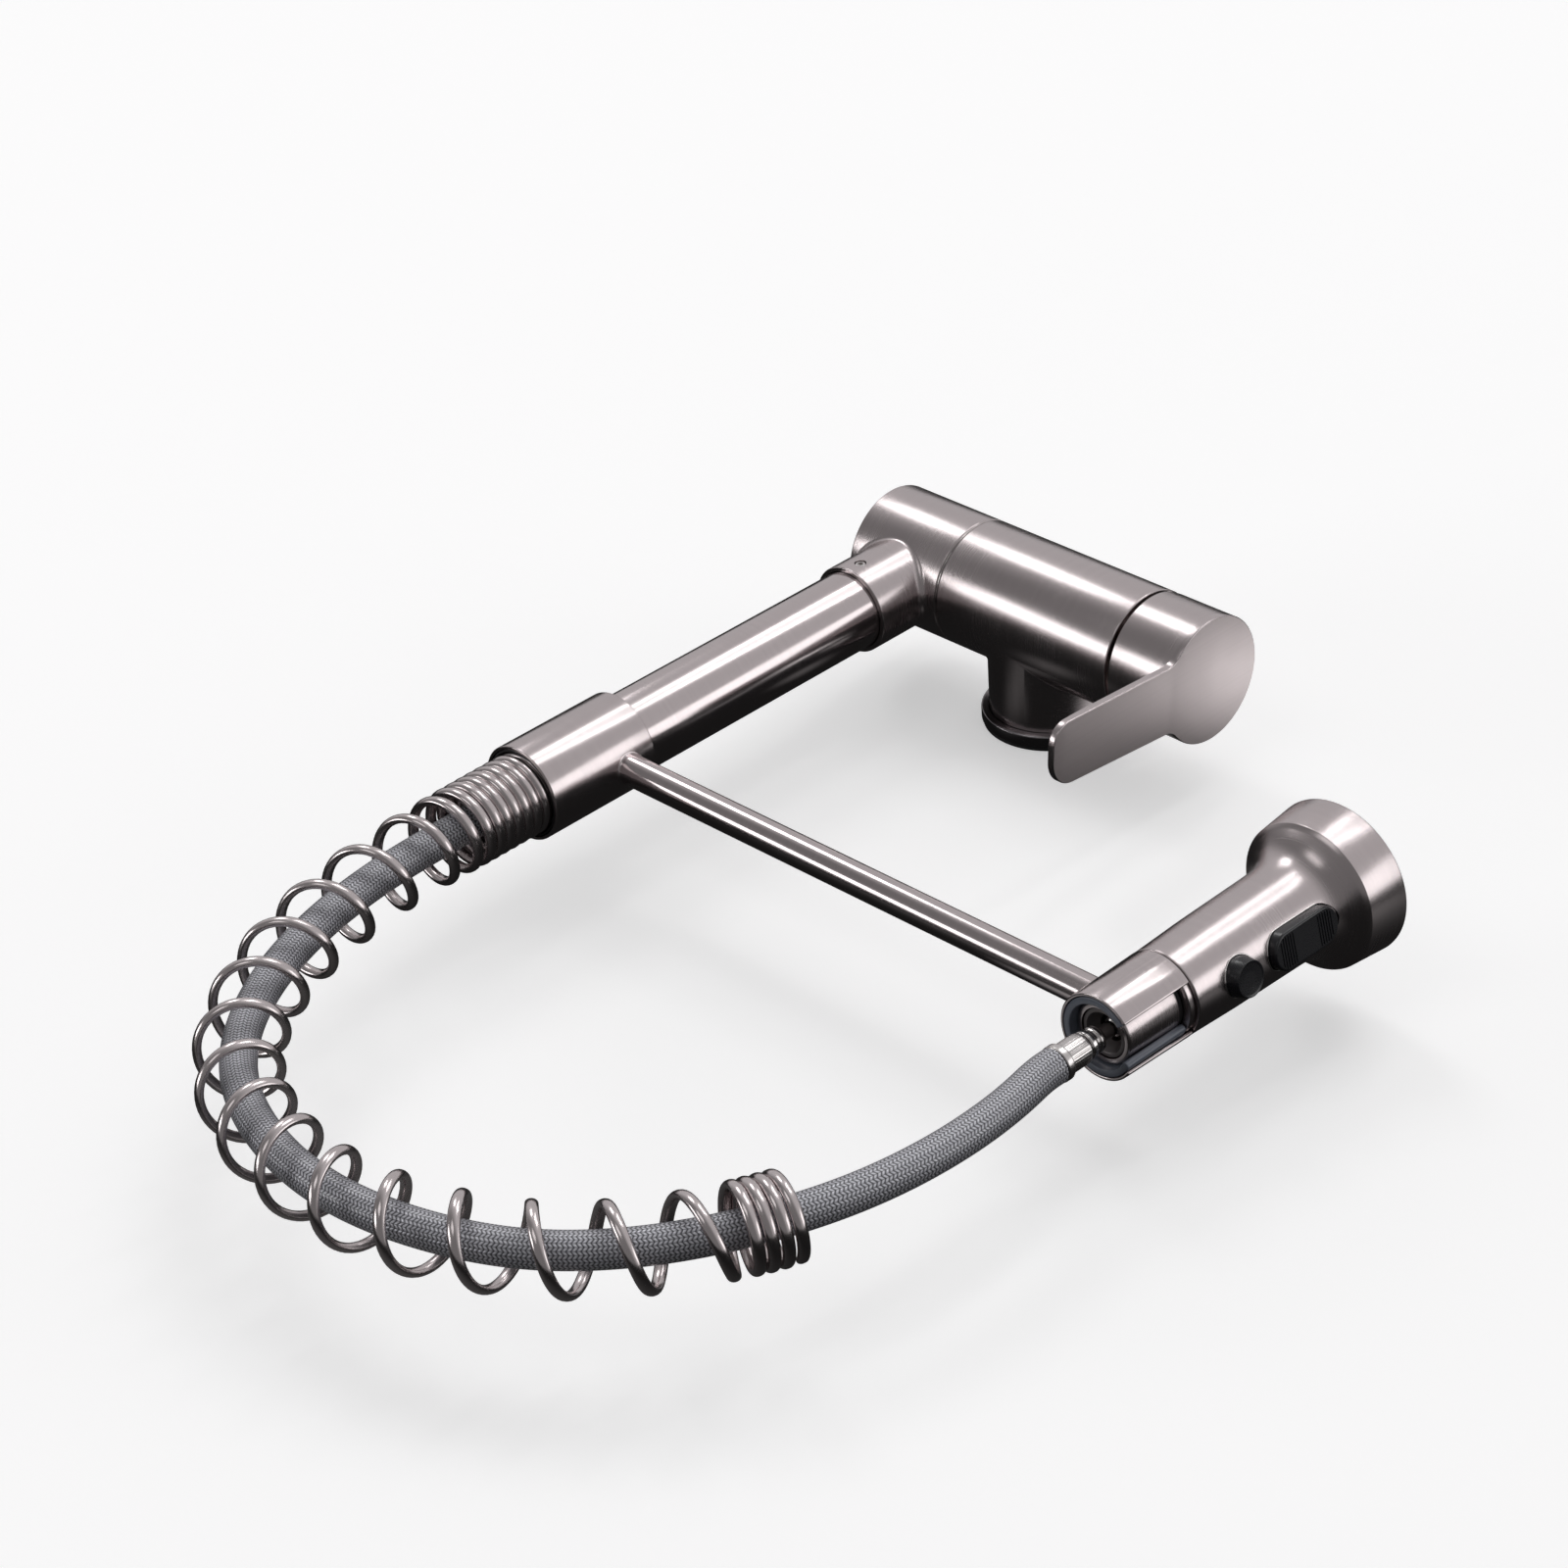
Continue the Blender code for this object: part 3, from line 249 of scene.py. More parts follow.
finishes = {
    "nickelColour": (0.605, 0.543, 0.545),
    "nickelRoughness": 0.23,
    "faceRoughness": 0.48,
    "tubeRoughness": 0.19,
    "steelColour": (0.68, 0.65, 0.64),
    "lineDensity": 4200.0,     # brush lines per metre across the brushing
    "lineLength": 14.0,
}
dense, sparse = finishes["lineDensity"], finishes["lineLength"]
across = {"X": (dense, sparse, sparse), "Y": (sparse, dense, sparse), "Z": (sparse, sparse, dense)}
nickel = {axis: metalLook("brushedNickel" + axis, finishes["nickelColour"],
                          finishes["nickelRoughness"], across[axis]) for axis in "XYZ"}
tubeNickel = {axis: metalLook("satinTube" + axis, finishes["nickelColour"],
                              finishes["tubeRoughness"], across[axis], depth=0.007, spread=0.08)
              for axis in "XY"}
faceNickel = metalLook("brushedFace", finishes["nickelColour"], finishes["faceRoughness"],
                       (sparse, sparse, dense), depth=0.030, spread=0.14)
darkNickel = metalLook("darkNickelFoot", (0.33, 0.31, 0.32), 0.2, across["Z"], depth=0.008)
polished = metalLook("polishedSteel", finishes["steelColour"], 0.16, across["Y"], depth=0.003,
                     spread=0.08)
wireNickel = metalLook("springWire", (0.66, 0.6, 0.6), 0.2, (160.0, 160.0, 160.0),
                       depth=0.0004, spread=0.03, swing=0.03)
crimpSteel = metalLook("crimpedSteel", finishes["steelColour"], 0.25, (300.0, 300.0, 300.0),
                       depth=0.0005, spread=0.04, swing=0.03)
# the nut's colour is painted dark: painted shade for the hollow inside the tail's mouth
nutSteel = metalLook("nutSteel", (0.24, 0.22, 0.22), 0.42, across["Y"], depth=0.004)
screwSteel = metalLook("screwSteel", finishes["steelColour"], 0.25, (500.0, 500.0, 500.0),
                       depth=0.004)
brass = metalLook("turnedBrass", (0.74, 0.55, 0.26), 0.28, across["X"], depth=0.01)
blackRubber = mouldedLook("blackRubber", (0.018, 0.018, 0.019), 0.62, 1600.0, 0.03)
blackPlastic = mouldedLook("blackSatinPlastic", (0.010, 0.010, 0.013), 0.26, 2200.0, 0.001, 0.25)
blackInside = mouldedLook("blackInnerPlastic", (0.02, 0.02, 0.022), 0.45)
greyPlastic = mouldedLook("linerGreyPlastic", (0.150, 0.168, 0.208), 0.3, 1800.0, 0.004, 0.3)
whitePlastic = mouldedLook("whiteInnerPlastic", (0.72, 0.72, 0.69), 0.42)
ceramic = mouldedLook("groundCeramic", (0.84, 0.83, 0.79), 0.22, 2500.0, 0.004)
redPlastic = mouldedLook("redIndexPlastic", (0.5, 0.03, 0.02), 0.35)
print("finishes ready")


# ---- shapes

def eased(profile, corners=5):
    # (station, radius) points, with an arc where a point has a third number, its corner radius
    done = []
    for i, point in enumerate(profile):
        size = point[2] if len(point) > 2 else 0
        here = Vector(point[:2])
        if not size:
            done.append(tuple(here))
            continue
        back = Vector(profile[i - 1][:2]) - here
        ahead = Vector(profile[(i + 1) % len(profile)][:2]) - here
        half = back.angle(ahead) / 2
        run = min(size / math.tan(half), back.length * 0.49, ahead.length * 0.49)
        radius = run * math.tan(half)
        middle = here + (back.normalized() + ahead.normalized()).normalized() * (
            radius / math.sin(half))
        first = here + back.normalized() * run - middle
        last = here + ahead.normalized() * run - middle
        turn = first.angle_signed(last)
        for k in range(corners + 1):
            a = -turn * k / corners
            c, s = math.cos(a), math.sin(a)
            done.append((middle.x + first.x * c - first.y * s,
                         middle.y + first.x * s + first.y * c))
    return done


def spun(profile, axis, steps=112, corners=5):
    along, out = axes[axis]
    points = eased(profile, corners)
    bm = bmesh.new()
    verts = [bm.verts.new((along * t + out * r) * mm) for t, r in points]
    edges = [bm.edges.new(pair) for pair in zip(verts, verts[1:])]
    if points[0][1] > 0:
        edges.append(bm.edges.new((verts[-1], verts[0])))
    bmesh.ops.spin(bm, geom=verts + edges, cent=(0, 0, 0), axis=along, angle=math.tau,
                   steps=steps, use_merge=True)
    bmesh.ops.remove_doubles(bm, verts=bm.verts[:], dist=1e-7)
    bmesh.ops.recalc_face_normals(bm, faces=bm.faces[:])
    return bm


def asObject(name, bm, centre=(0, 0, 0), sharp=32):
    bmesh.ops.translate(bm, verts=bm.verts[:], vec=centre)
    mesh = bpy.data.meshes.new(name)
    bm.to_mesh(mesh)
    bm.free()
    mesh.shade_smooth()
    mesh.set_sharp_from_angle(angle=math.radians(sharp))
    obj = bpy.data.objects.new(name, mesh)
    scene.collection.objects.link(obj)
    return obj


def fitted(obj, look, body, *replaced):
    # the finished piece takes its material, its body and the CAD nodes it stands for
    obj.data.materials.clear()
    obj.data.materials.append(look)
    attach(obj, body)
    if replaced:
        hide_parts(*replaced)
    return obj


def turnedPiece(name, profile, axis, centre, look, body, *replaced, steps=112, corners=5):
    obj = asObject(name, spun(profile, axis, steps, corners), centre)
    return fitted(obj, look, body, *replaced)


def extruded(bm, by):
    # the flat faces drawn out into a solid
    grown = bmesh.ops.extrude_face_region(bm, geom=bm.faces[:])
    moved = [part for part in grown["geom"] if isinstance(part, bmesh.types.BMVert)]
    bmesh.ops.translate(bm, verts=moved, vec=by)
    bmesh.ops.recalc_face_normals(bm, faces=bm.faces[:])


def carve(target, tools, operation="DIFFERENCE", sharp=32):
    for tool in tools:
        change = target.modifiers.new("Boolean", "BOOLEAN")
        change.operation = operation
        change.object = tool
        change.solver = "EXACT"
        bpy.context.view_layer.update()
        graph = bpy.context.evaluated_depsgraph_get()
        result = bpy.data.meshes.new_from_object(target.evaluated_get(graph))
        target.modifiers.clear()
        old = target.data
        bm = bmesh.new()
        bm.from_mesh(result)
        bmesh.ops.remove_doubles(bm, verts=bm.verts[:], dist=2e-6)
        bmesh.ops.dissolve_degenerate(bm, edges=bm.edges[:], dist=1e-6)
        bm.to_mesh(result)
        bm.free()
        result.shade_smooth()
        result.set_sharp_from_angle(angle=math.radians(sharp))
        target.data = result
        bpy.data.meshes.remove(old)
        bpy.data.objects.remove(tool, do_unlink=True)
    return target


def brushedApart(obj, look):
    # a branch that stands off the body's axis is brushed about its own
    obj.data.materials.append(look)
    for face in obj.data.polygons:
        off = face.center - bodyAxis
        if math.hypot(off.y, off.z) > (lines["bodyRadius"] + 0.2) * mm:
            face.material_index = 1


def wrapped(around, along, place, uvSize=(1, 1), ends=True):
    # a grid laid over a tube-like surface: place takes shares round and along
    bm = bmesh.new()
    sheet = bm.loops.layers.uv.new("UVMap")
    bmesh.ops.create_grid(bm, x_segments=around, y_segments=along, size=0.5, calc_uvs=True)
    shares = np.array([v.co for v in bm.verts]) + 0.5
    for face in bm.faces:
        for loop in face.loops:
            spot = loop.vert.co
            loop[sheet].uv = ((spot.x + 0.5) * uvSize[0], (spot.y + 0.5) * uvSize[1])
    for vert, spot in zip(bm.verts, place(shares[:, 0], shares[:, 1])):
        vert.co = spot
    bmesh.ops.remove_doubles(bm, verts=bm.verts[:], dist=1e-7)
    if ends:
        rim = [e for e in bm.edges if e.is_boundary]
        bmesh.ops.edgeloop_fill(bm, edges=rim)
    bmesh.ops.recalc_face_normals(bm, faces=bm.faces[:])
    return bm


def fillet(name, main, branch, ball, turn, centre, look, body):
    # the hollow ring where a branch meets a larger round: a ball rolled along both
    # worked out with the main axis along X and the branch along -Y, then turned
    def place(section, share):
        angle = share * math.tau
        side = (branch + ball) * np.sin(angle)
        depth = -np.sqrt((main + ball) ** 2 - side ** 2)
        middle = np.stack([(branch + ball) * np.cos(angle), depth, side], axis=1)
        toBranch = np.stack([-np.cos(angle), np.zeros_like(angle), -np.sin(angle)], axis=1)
        toMain = np.stack([np.zeros_like(angle), -depth, -side], axis=1) / (main + ball)
        open_ = np.arccos(np.clip(np.sum(toBranch * toMain, axis=1), -1, 1))
        arc = np.clip(section / 0.8, 0, 1)
        first = np.sin((1 - arc) * open_) / np.sin(open_)
        second = np.sin(arc * open_) / np.sin(open_)
        skin = middle + ball * (toBranch * first[:, None] + toMain * second[:, None])
        inside = np.stack([(branch - 0.7) * np.cos(angle),
                           -np.sqrt((main - 0.7) ** 2 - ((branch - 0.7) * np.sin(angle)) ** 2),
                           (branch - 0.7) * np.sin(angle)], axis=1)
        hidden = (section > 0.85) & (section < 0.95)
        spots = np.where(hidden[:, None], inside, skin)
        return np.where((section > 0.95)[:, None], middle + ball * toBranch, spots) * mm
    bm = wrapped(10, 120, place, ends=False)
    bmesh.ops.transform(bm, matrix=turn, verts=bm.verts[:])
    bmesh.ops.recalc_face_normals(bm, faces=bm.faces[:])
    return fitted(asObject(name, bm, centre, sharp=60), look, body)


# ---- foot, body barrel and stub

barrel = {"left": -34.0, "right": 50.2, "stubRadius": 23.15, "foot": 1.7, "ease": 0.5,
          "flangeRadius": 26.2, "flangeTop": 6.7, "gasketRadius": 25.6, "gasketTop": 1.4,
          "gasketBore": 17.4, "inletRadius": 4.6, "inletOffset": 8.5, "studRadius": 4.0}


def makeBody():
    b = barrel
    radius = lines["bodyRadius"]
    shell = asObject("body_barrel", spun([
        (b["left"], 0), (b["left"], radius, b["ease"]), (b["right"], radius, b["ease"]),
        (b["right"], 0)], "X", 128), bodyAxis)
    stub = asObject("stub", spun([(b["foot"], 0), (b["foot"], b["stubRadius"]),
                                  (level - 2, b["stubRadius"]), (level - 2, 0)], "Z", 128))
    carve(shell, [stub], "UNION")
    waterway = asObject("waterway", spun([
        (b["left"] - 2, 0), (b["left"] - 2, 14.0), (-18.3, 14.0), (-18.3, 8.0), (9.0, 8.0),
        (9.0, 20.2), (b["right"] + 2, 20.2), (b["right"] + 2, 0)], "X", 64), bodyAxis)
    holes = [waterway]
    for x, y, r in ((-b["inletOffset"], b["inletOffset"], b["inletRadius"]),
                    (-b["inletOffset"], -b["inletOffset"], b["inletRadius"]),
                    (b["inletOffset"] * 1.4, 0, b["studRadius"])):
        holes.append(asObject("hole", spun([(-2, 0), (-2, r), (20, r), (20, 0)], "Z", 32),
                              Vector((x, y, 0)) * mm))
    carve(shell, holes)
    fitted(shell, nickel["X"], "base", "body_shell")
    brushedApart(shell, nickel["Z"])
    down = Matrix.Rotation(math.radians(90), 4, "X")
    fillet("stub_fillet", radius, b["stubRadius"], 1.6, down, bodyAxis, nickel["X"], "base")
    inner = b["stubRadius"] + gap
    turnedPiece("foot_flange", [(b["foot"], inner), (b["foot"], b["flangeRadius"], 0.5),
                                (b["flangeTop"], b["flangeRadius"], 0.9), (b["flangeTop"], inner)],
                "Z", (0, 0, 0), darkNickel, "base", "base_flange", steps=128)
    turnedPiece("foot_gasket", [(0, b["gasketBore"]), (0, b["gasketRadius"], 0.3),
                                (b["gasketTop"], b["gasketRadius"], 0.5),
                                (b["gasketTop"], b["gasketBore"])],
                "Z", (0, 0, 0), blackRubber, "base", "base_gasket", steps=96)


makeBody()
print("foot and body barrel made")


# ---- turning tee collar

tee = {"left": -79.4, "right": -35.0, "end": 46.4, "ball": 3.0, "screwAt": 39.6,
       "screwRadius": 2.0}


def makeTee():
    t = tee
    radius, branchRadius = lines["bodyRadius"], lines["teeRadius"]
    shell = asObject("tee_barrel", spun([
        (t["left"], 0), (t["left"], radius, 0.6), (t["right"], radius, 0.5), (t["right"], 0)],
        "X", 128), bodyAxis)
    branch = asObject("branch", spun([
        (2, 0), (2, branchRadius), (t["end"], branchRadius, 0.5), (t["end"], 0)], "Y", 112),
        riserAxis)
    carve(shell, [branch], "UNION")
    bore = asObject("bore", spun([
        (t["left"] - 2, 0), (t["left"] - 2, 19.8), (-71.9, 19.8), (-71.9, 17.3),
        (t["right"] + 2, 17.3), (t["right"] + 2, 0)], "X", 64), bodyAxis)
    socket = asObject("socket", spun([
        (4, 0), (4, 8.0), (22.0, 8.0), (22.0, 15.8), (t["end"] + 2, 15.8), (t["end"] + 2, 0)],
        "Y", 64), riserAxis)
    spot = riserAxis + Vector((0, -t["screwAt"], 0)) * mm
    hole = t["screwRadius"] + gap
    screwHole = asObject("screwHole", spun([(10, 0), (10, hole), (22, hole), (22, 0)], "Z", 32),
                         spot)
    carve(shell, [bore, socket, screwHole])
    fitted(shell, nickel["X"], "collar", "tee_collar")
    brushedApart(shell, nickel["Y"])
    middle = Vector((riserX, 0, level)) * mm
    fillet("tee_fillet", radius, branchRadius, t["ball"], Matrix.Identity(4), middle,
           nickel["X"], "collar")
    screw = asObject("tee_screw", spun([
        (14.6, 0), (14.6, 1.9), (17.0, t["screwRadius"], 0.35), (17.0, 0)], "Z", 40), spot)
    hexHole = asObject("hexHole", spun([(15.8, 0), (15.8, 1.15), (19, 1.15), (19, 0)], "Z", 6),
                       spot)
    carve(screw, [hexHole])
    fitted(screw, screwSteel, "collar", "tee_set_screw")
    turnedPiece("seam_ring", [(-34.7, 17.3), (-34.7, 24.85, 0.1), (-34.3, 24.85, 0.1),
                              (-34.3, 17.3)], "X", bodyAxis, polished, "collar",
                "fold_slide_ring", corners=2)
    turnedPiece("end_disc", [(-79.1, 0), (-79.1, 19.5, 0.3), (-77.3, 19.5), (-77.3, 0)], "X",
                bodyAxis, nickel["X"], "collar", "collar_end_cap")


makeTee()
print("tee collar made")


# ---- riser, sleeve and arm

riser = {"radius": 15.5, "start": 22.3, "end": 185.0, "sleeveRadius": 18.45,
         "sleeveStart": 166.9, "sleeveEnd": 215.7, "bushRadius": 16.9, "bushWall": 0.9,
         "armAt": 179.3, "armRadius": 5.9, "armEnd": 241.75}


def makeRiser():
    r = riser
    turnedPiece("riser_pipe", [
        (r["start"], 12.2), (r["start"], r["radius"], 0.3), (25.2, r["radius"]), (25.2, 13.6),
        (27.6, 13.6), (27.6, r["radius"]), (30.2, r["radius"]), (30.2, 13.6), (32.6, 13.6),
        (32.6, r["radius"]), (37.0, r["radius"]), (37.0, 14.3), (42.2, 14.3),
        (42.2, r["radius"]), (r["end"], r["radius"], 0.3), (r["end"], 14.0), (48.0, 14.0),
        (48.0, 12.2)], "Y", riserAxis, tubeNickel["Y"], "spout", "riser_tube", corners=3)
    bore = r["bushRadius"] + gap
    turnedPiece("sleeve_shell", [
        (r["sleeveStart"], r["radius"] + gap), (r["sleeveStart"], r["sleeveRadius"], 0.5),
        (r["sleeveEnd"], r["sleeveRadius"], 0.55), (r["sleeveEnd"], bore, 0.2),
        (r["end"] + 1, bore), (r["end"] + 1, r["radius"] + gap)],
        "Y", riserAxis, tubeNickel["Y"], "spout", "arm_sleeve")
    turnedPiece("mouth_bush", [
        (r["sleeveEnd"] - 12, r["bushRadius"] - r["bushWall"]),
        (r["sleeveEnd"] - 12, r["bushRadius"]), (r["sleeveEnd"] - 0.4, r["bushRadius"], 0.3),
        (r["sleeveEnd"] - 0.4, r["bushRadius"] - r["bushWall"], 0.3)],
        "Y", riserAxis, blackInside, "spout", "sleeve_mouth_bush")
    spot = Vector((riserX, -r["armAt"], level)) * mm
    turnedPiece("arm_bar", [(16.8, 0), (16.8, r["armRadius"]), (r["armEnd"], r["armRadius"], 0.3),
                            (r["armEnd"], 0)], "X", spot, tubeNickel["X"], "spout", "arm_rod",
                steps=72)
    quarter = Matrix.Rotation(math.radians(90), 4, "Z")
    fillet("arm_root", r["sleeveRadius"], r["armRadius"], 0.7, quarter, spot, tubeNickel["Y"],
           "spout")


makeRiser()
print("riser, sleeve and arm made")


# ---- clip at the arm's end

clip = {"front": 165.3, "mouth": 197.0, "linerFront": 168.1, "frontRadius": 16.5,
        "mouthRadius": 16.0, "wall": 1.2, "upper": 40.0, "lower": -32.0, "liner": 2.5,
        "bead": 1.55}


def clipRadius(station):
    share = (station - clip["front"]) / (clip["mouth"] - clip["front"])
    return clip["frontRadius"] + (clip["mouthRadius"] - clip["frontRadius"]) * share


def openRing(name, low, high, outer, wall, easing, look, *replaced):
    # a closed outline spun through the angle that the slot leaves
    first = math.radians(clip["upper"])
    sweep = math.tau - math.radians(clip["upper"] - clip["lower"])
    start = Vector((math.cos(first), 0, math.sin(first)))
    corners = [(low, outer(low) - wall), (low, outer(low)), (high, outer(high)),
               (high, outer(high) - wall)]
    bm = bmesh.new()
    verts = [bm.verts.new((start * r + Vector((0, -t, 0))) * mm) for t, r in corners]
    face = bm.faces.new(verts)
    bmesh.ops.spin(bm, geom=[face, *face.edges, *verts], cent=(0, 0, 0), axis=(0, -1, 0),
                   angle=sweep, steps=100, use_duplicate=False)
    bmesh.ops.remove_doubles(bm, verts=bm.verts[:], dist=1e-7)
    bmesh.ops.recalc_face_normals(bm, faces=bm.faces[:])
    rims = [e for e in bm.edges if len(e.link_faces) == 2 and e.calc_face_angle(0) > 0.9]
    bmesh.ops.bevel(bm, geom=rims, offset=easing * mm, segments=3, profile=0.5, affect="EDGES",
                    material=-1, clamp_overlap=True)
    return fitted(asObject(name, bm, headAxis), look, "spout", *replaced)


def makeClip():
    c = clip
    openRing("clip_skin", c["front"], c["mouth"], clipRadius, c["wall"], 0.4, tubeNickel["Y"],
             "clip_shell")
    inner = c["wall"] + gap
    openRing("clip_lining", c["linerFront"], c["mouth"] + 0.1, lambda t: clipRadius(t) - inner,
             c["liner"], 0.35, greyPlastic, "clip_liner")
    # the lining is rolled over the slot's lower edge
    out = clipRadius(c["mouth"]) - inner - c["bead"] + 0.5
    a = math.radians(c["lower"] + 4.0)
    spot = headAxis + Vector((math.cos(a), 0, math.sin(a))) * out * mm
    turnedPiece("lining_roll", [(c["linerFront"], 0), (c["linerFront"], c["bead"], 0.7),
                                (c["mouth"] + 0.1, c["bead"], 0.5), (c["mouth"] + 0.1, 0)],
                "Y", spot, greyPlastic, "spout", steps=32)


makeClip()
print("clip made")


# ---- hose and neck spring

hose = {"radius": 6.4, "bends": [
    (-58.5, -216.0), (-58.2, -250.0), (-57.2, -278.0), (-53.0, -307.0), (-43.0, -339.0),
    (-27.0, -368.0), (-3.0, -393.0), (30.0, -409.5), (70.0, -415.5), (107.0, -409.5),
    (139.0, -395.0), (165.0, -371.0), (184.0, -341.0), (196.0, -310.0), (201.5, -280.0),
    (202.0, -252.0), (200.0, -234.0), (198.4, -222.5)]}
braid = {"rows": 32, "lean": 0.62, "step": 1.5}
spring = {"across": 2.2, "thick": 1.6, "radius": 14.15, "tight": 4.5, "open": 24.72,
          "openFrom": 50.0, "openEase": 40.0, "shutFrom": 429.2, "shutEase": 8.4,
          "from": 2.5, "to": 452.5, "phase": 88.4}


def naturalSpline(knots, values, at):
    count = len(knots)
    step = np.diff(knots)
    slope = np.diff(values) / step
    system, right = np.eye(count), np.zeros(count)
    for i in range(1, count - 1):
        system[i, i - 1:i + 2] = step[i - 1], 2 * (step[i - 1] + step[i]), step[i]
        right[i] = 6 * (slope[i] - slope[i - 1])
    moment = np.linalg.solve(system, right)
    k = np.clip(np.searchsorted(knots, at) - 1, 0, count - 2)
    a, b = (knots[k + 1] - at) / step[k], (at - knots[k]) / step[k]
    smooth = (a ** 3 - a) * moment[k] + (b ** 3 - b) * moment[k + 1]
    return a * values[k] + b * values[k + 1] + smooth * step[k] ** 2 / 6


def hoseLine():
    ends = (riserX, -lines["hoseStart"]), (headX, -lines["hoseStop"])
    route = np.array([ends[0], *hose["bends"], ends[1]])
    knots = np.concatenate([[0], np.cumsum(np.linalg.norm(np.diff(route, axis=0), axis=1))])
    fine = np.linspace(0, knots[-1], 4001)
    line = np.stack([naturalSpline(knots, route[:, 0], fine),
                     naturalSpline(knots, route[:, 1], fine), np.full(4001, level)], axis=1)
    gone = np.concatenate([[0], np.cumsum(np.linalg.norm(np.diff(line, axis=0), axis=1))])
    heading = np.gradient(line, gone, axis=0)
    return line, heading / np.linalg.norm(heading, axis=1)[:, None], gone


centreLine, heading, gone = hoseLine()
upward = np.array([0.0, 0.0, 1.0])


def along(values, at):
    return np.stack([np.interp(at, gone, values[:, i]) for i in range(3)], axis=1)


def softRamp(value):
    value = np.clip(value, 0, 1)
    return value * value * (3 - 2 * value)


def springLine(perTurn):
    w = spring
    s = np.linspace(w["from"], w["to"], 8001)
    opening = softRamp((s - w["openFrom"]) / w["openEase"])
    opening = opening * (1 - softRamp((s - w["shutFrom"]) / w["shutEase"]))
    pitch = w["tight"] + (w["open"] - w["tight"]) * opening
    turns = np.concatenate([[0], np.cumsum(np.diff(s) / ((pitch[1:] + pitch[:-1]) / 2))])
    wanted = np.linspace(0, turns[-1], int(turns[-1] * perTurn))
    at = np.interp(wanted, turns, s)
    angle = math.tau * wanted + math.radians(w["phase"])
    ahead = along(heading, at)
    side = np.cross(ahead, upward)
    out = np.cos(angle)[:, None] * upward + np.sin(angle)[:, None] * side
    return along(centreLine, at) + w["radius"] * out, out


def makeBraid():
    # rows of short wire bundles leaning one way and then the other, read along the hose's
    # own map in millimetres
    look, tree, shader = newLook("steelBraid")
    uv = tree.nodes.new("ShaderNodeUVMap")
    uv.uv_map = "UVMap"
    split = tree.nodes.new("ShaderNodeSeparateXYZ")
    tree.links.new(uv.outputs[0], split.inputs[0])
    row = mathNode(tree, "DIVIDE", split.outputs["X"], math.tau * hose["radius"] / braid["rows"])
    lean = mathNode(tree, "MULTIPLY", mathNode(tree, "PINGPONG", row, 1.0), braid["lean"])
    step = mathNode(tree, "FRACT", mathNode(
        tree, "ADD", mathNode(tree, "DIVIDE", split.outputs["Y"], braid["step"]), lean))
    bundle = mathNode(tree, "POWER", mathNode(tree, "SINE", mathNode(
        tree, "MULTIPLY", step, math.pi)), 1.1)
    crown = mathNode(tree, "POWER", mathNode(tree, "SINE", mathNode(
        tree, "MULTIPLY", mathNode(tree, "FRACT", row), math.pi)), 0.4)
    wires = mathNode(tree, "ABSOLUTE", mathNode(tree, "SINE", mathNode(
        tree, "MULTIPLY", step, math.pi * 4)))
    height = mathNode(tree, "MULTIPLY", mathNode(tree, "MULTIPLY", bundle, crown),
                      mathNode(tree, "MULTIPLY_ADD", wires, 0.2, 0.8))
    # the weave's low parts, the gaps between bundles and the bundles' sides, are painted dark:
    # painted shade in the weave's creases
    blendColour(tree, height, (0.012, 0.012, 0.02), (0.93, 0.93, 1.0),
                shader.inputs["Base Color"])
    shader.inputs["Metallic"].default_value = 0.35
    shader.inputs["Coat Weight"].default_value = 0.5
    shader.inputs["Coat Roughness"].default_value = 0.22
    tree.links.new(mathNode(tree, "MULTIPLY_ADD", height, -0.16, 0.42), shader.inputs["Roughness"])
    relief(tree, shader, height, 0.25, 0.8)
    return look


def makeHose():
    length = gone[-1]

    def onHose(turn, share):
        at = share * length
        side = np.cross(along(heading, at), upward)
        angle = turn * math.tau
        out = np.cos(angle)[:, None] * upward + np.sin(angle)[:, None] * side
        return (along(centreLine, at) + hose["radius"] * out) * mm

    girth = math.tau * hose["radius"]
    skin = asObject("braided_hose", wrapped(40, 420, onHose, (girth, length)), sharp=60)
    skin.data.materials.append(makeBraid())
    wireLine, out = springLine(48)
    ahead = np.gradient(wireLine, axis=0)
    ahead /= np.linalg.norm(ahead, axis=1)[:, None]
    side = np.cross(ahead, out)
    count = len(wireLine) - 1

    def onWire(turn, share):
        spot = np.round(share * count).astype(int)
        angle = turn * math.tau
        tip = np.where((spot == 0) | (spot == count), 0.85, 1)
        ring = (spring["thick"] * tip * np.cos(angle))[:, None] * out[spot]
        ring += (spring["across"] * tip * np.sin(angle))[:, None] * side[spot]
        return (wireLine[spot] + ring) * mm

    coil = asObject("neck_coil", wrapped(20, count, onWire, (12.6, 2900)), sharp=60)
    coil.data.materials.append(wireNickel)
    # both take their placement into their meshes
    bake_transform(skin)
    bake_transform(coil)
    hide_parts("hose")
    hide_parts("neck_spring")
    points = along(centreLine, np.linspace(0, length, 160)) * mm
    print("hose length", round(length, 1), "mm")


makeHose()
print("hose and spring made")


# ---- crimped ferrule and ball fitting

ferrule = {"end": 217.6, "crimp": 6.6, "barrel": 5.6, "root": 204.2, "flutes": 36,
           "fluteDepth": 0.1, "ballAt": 185.6, "ball": 5.2}


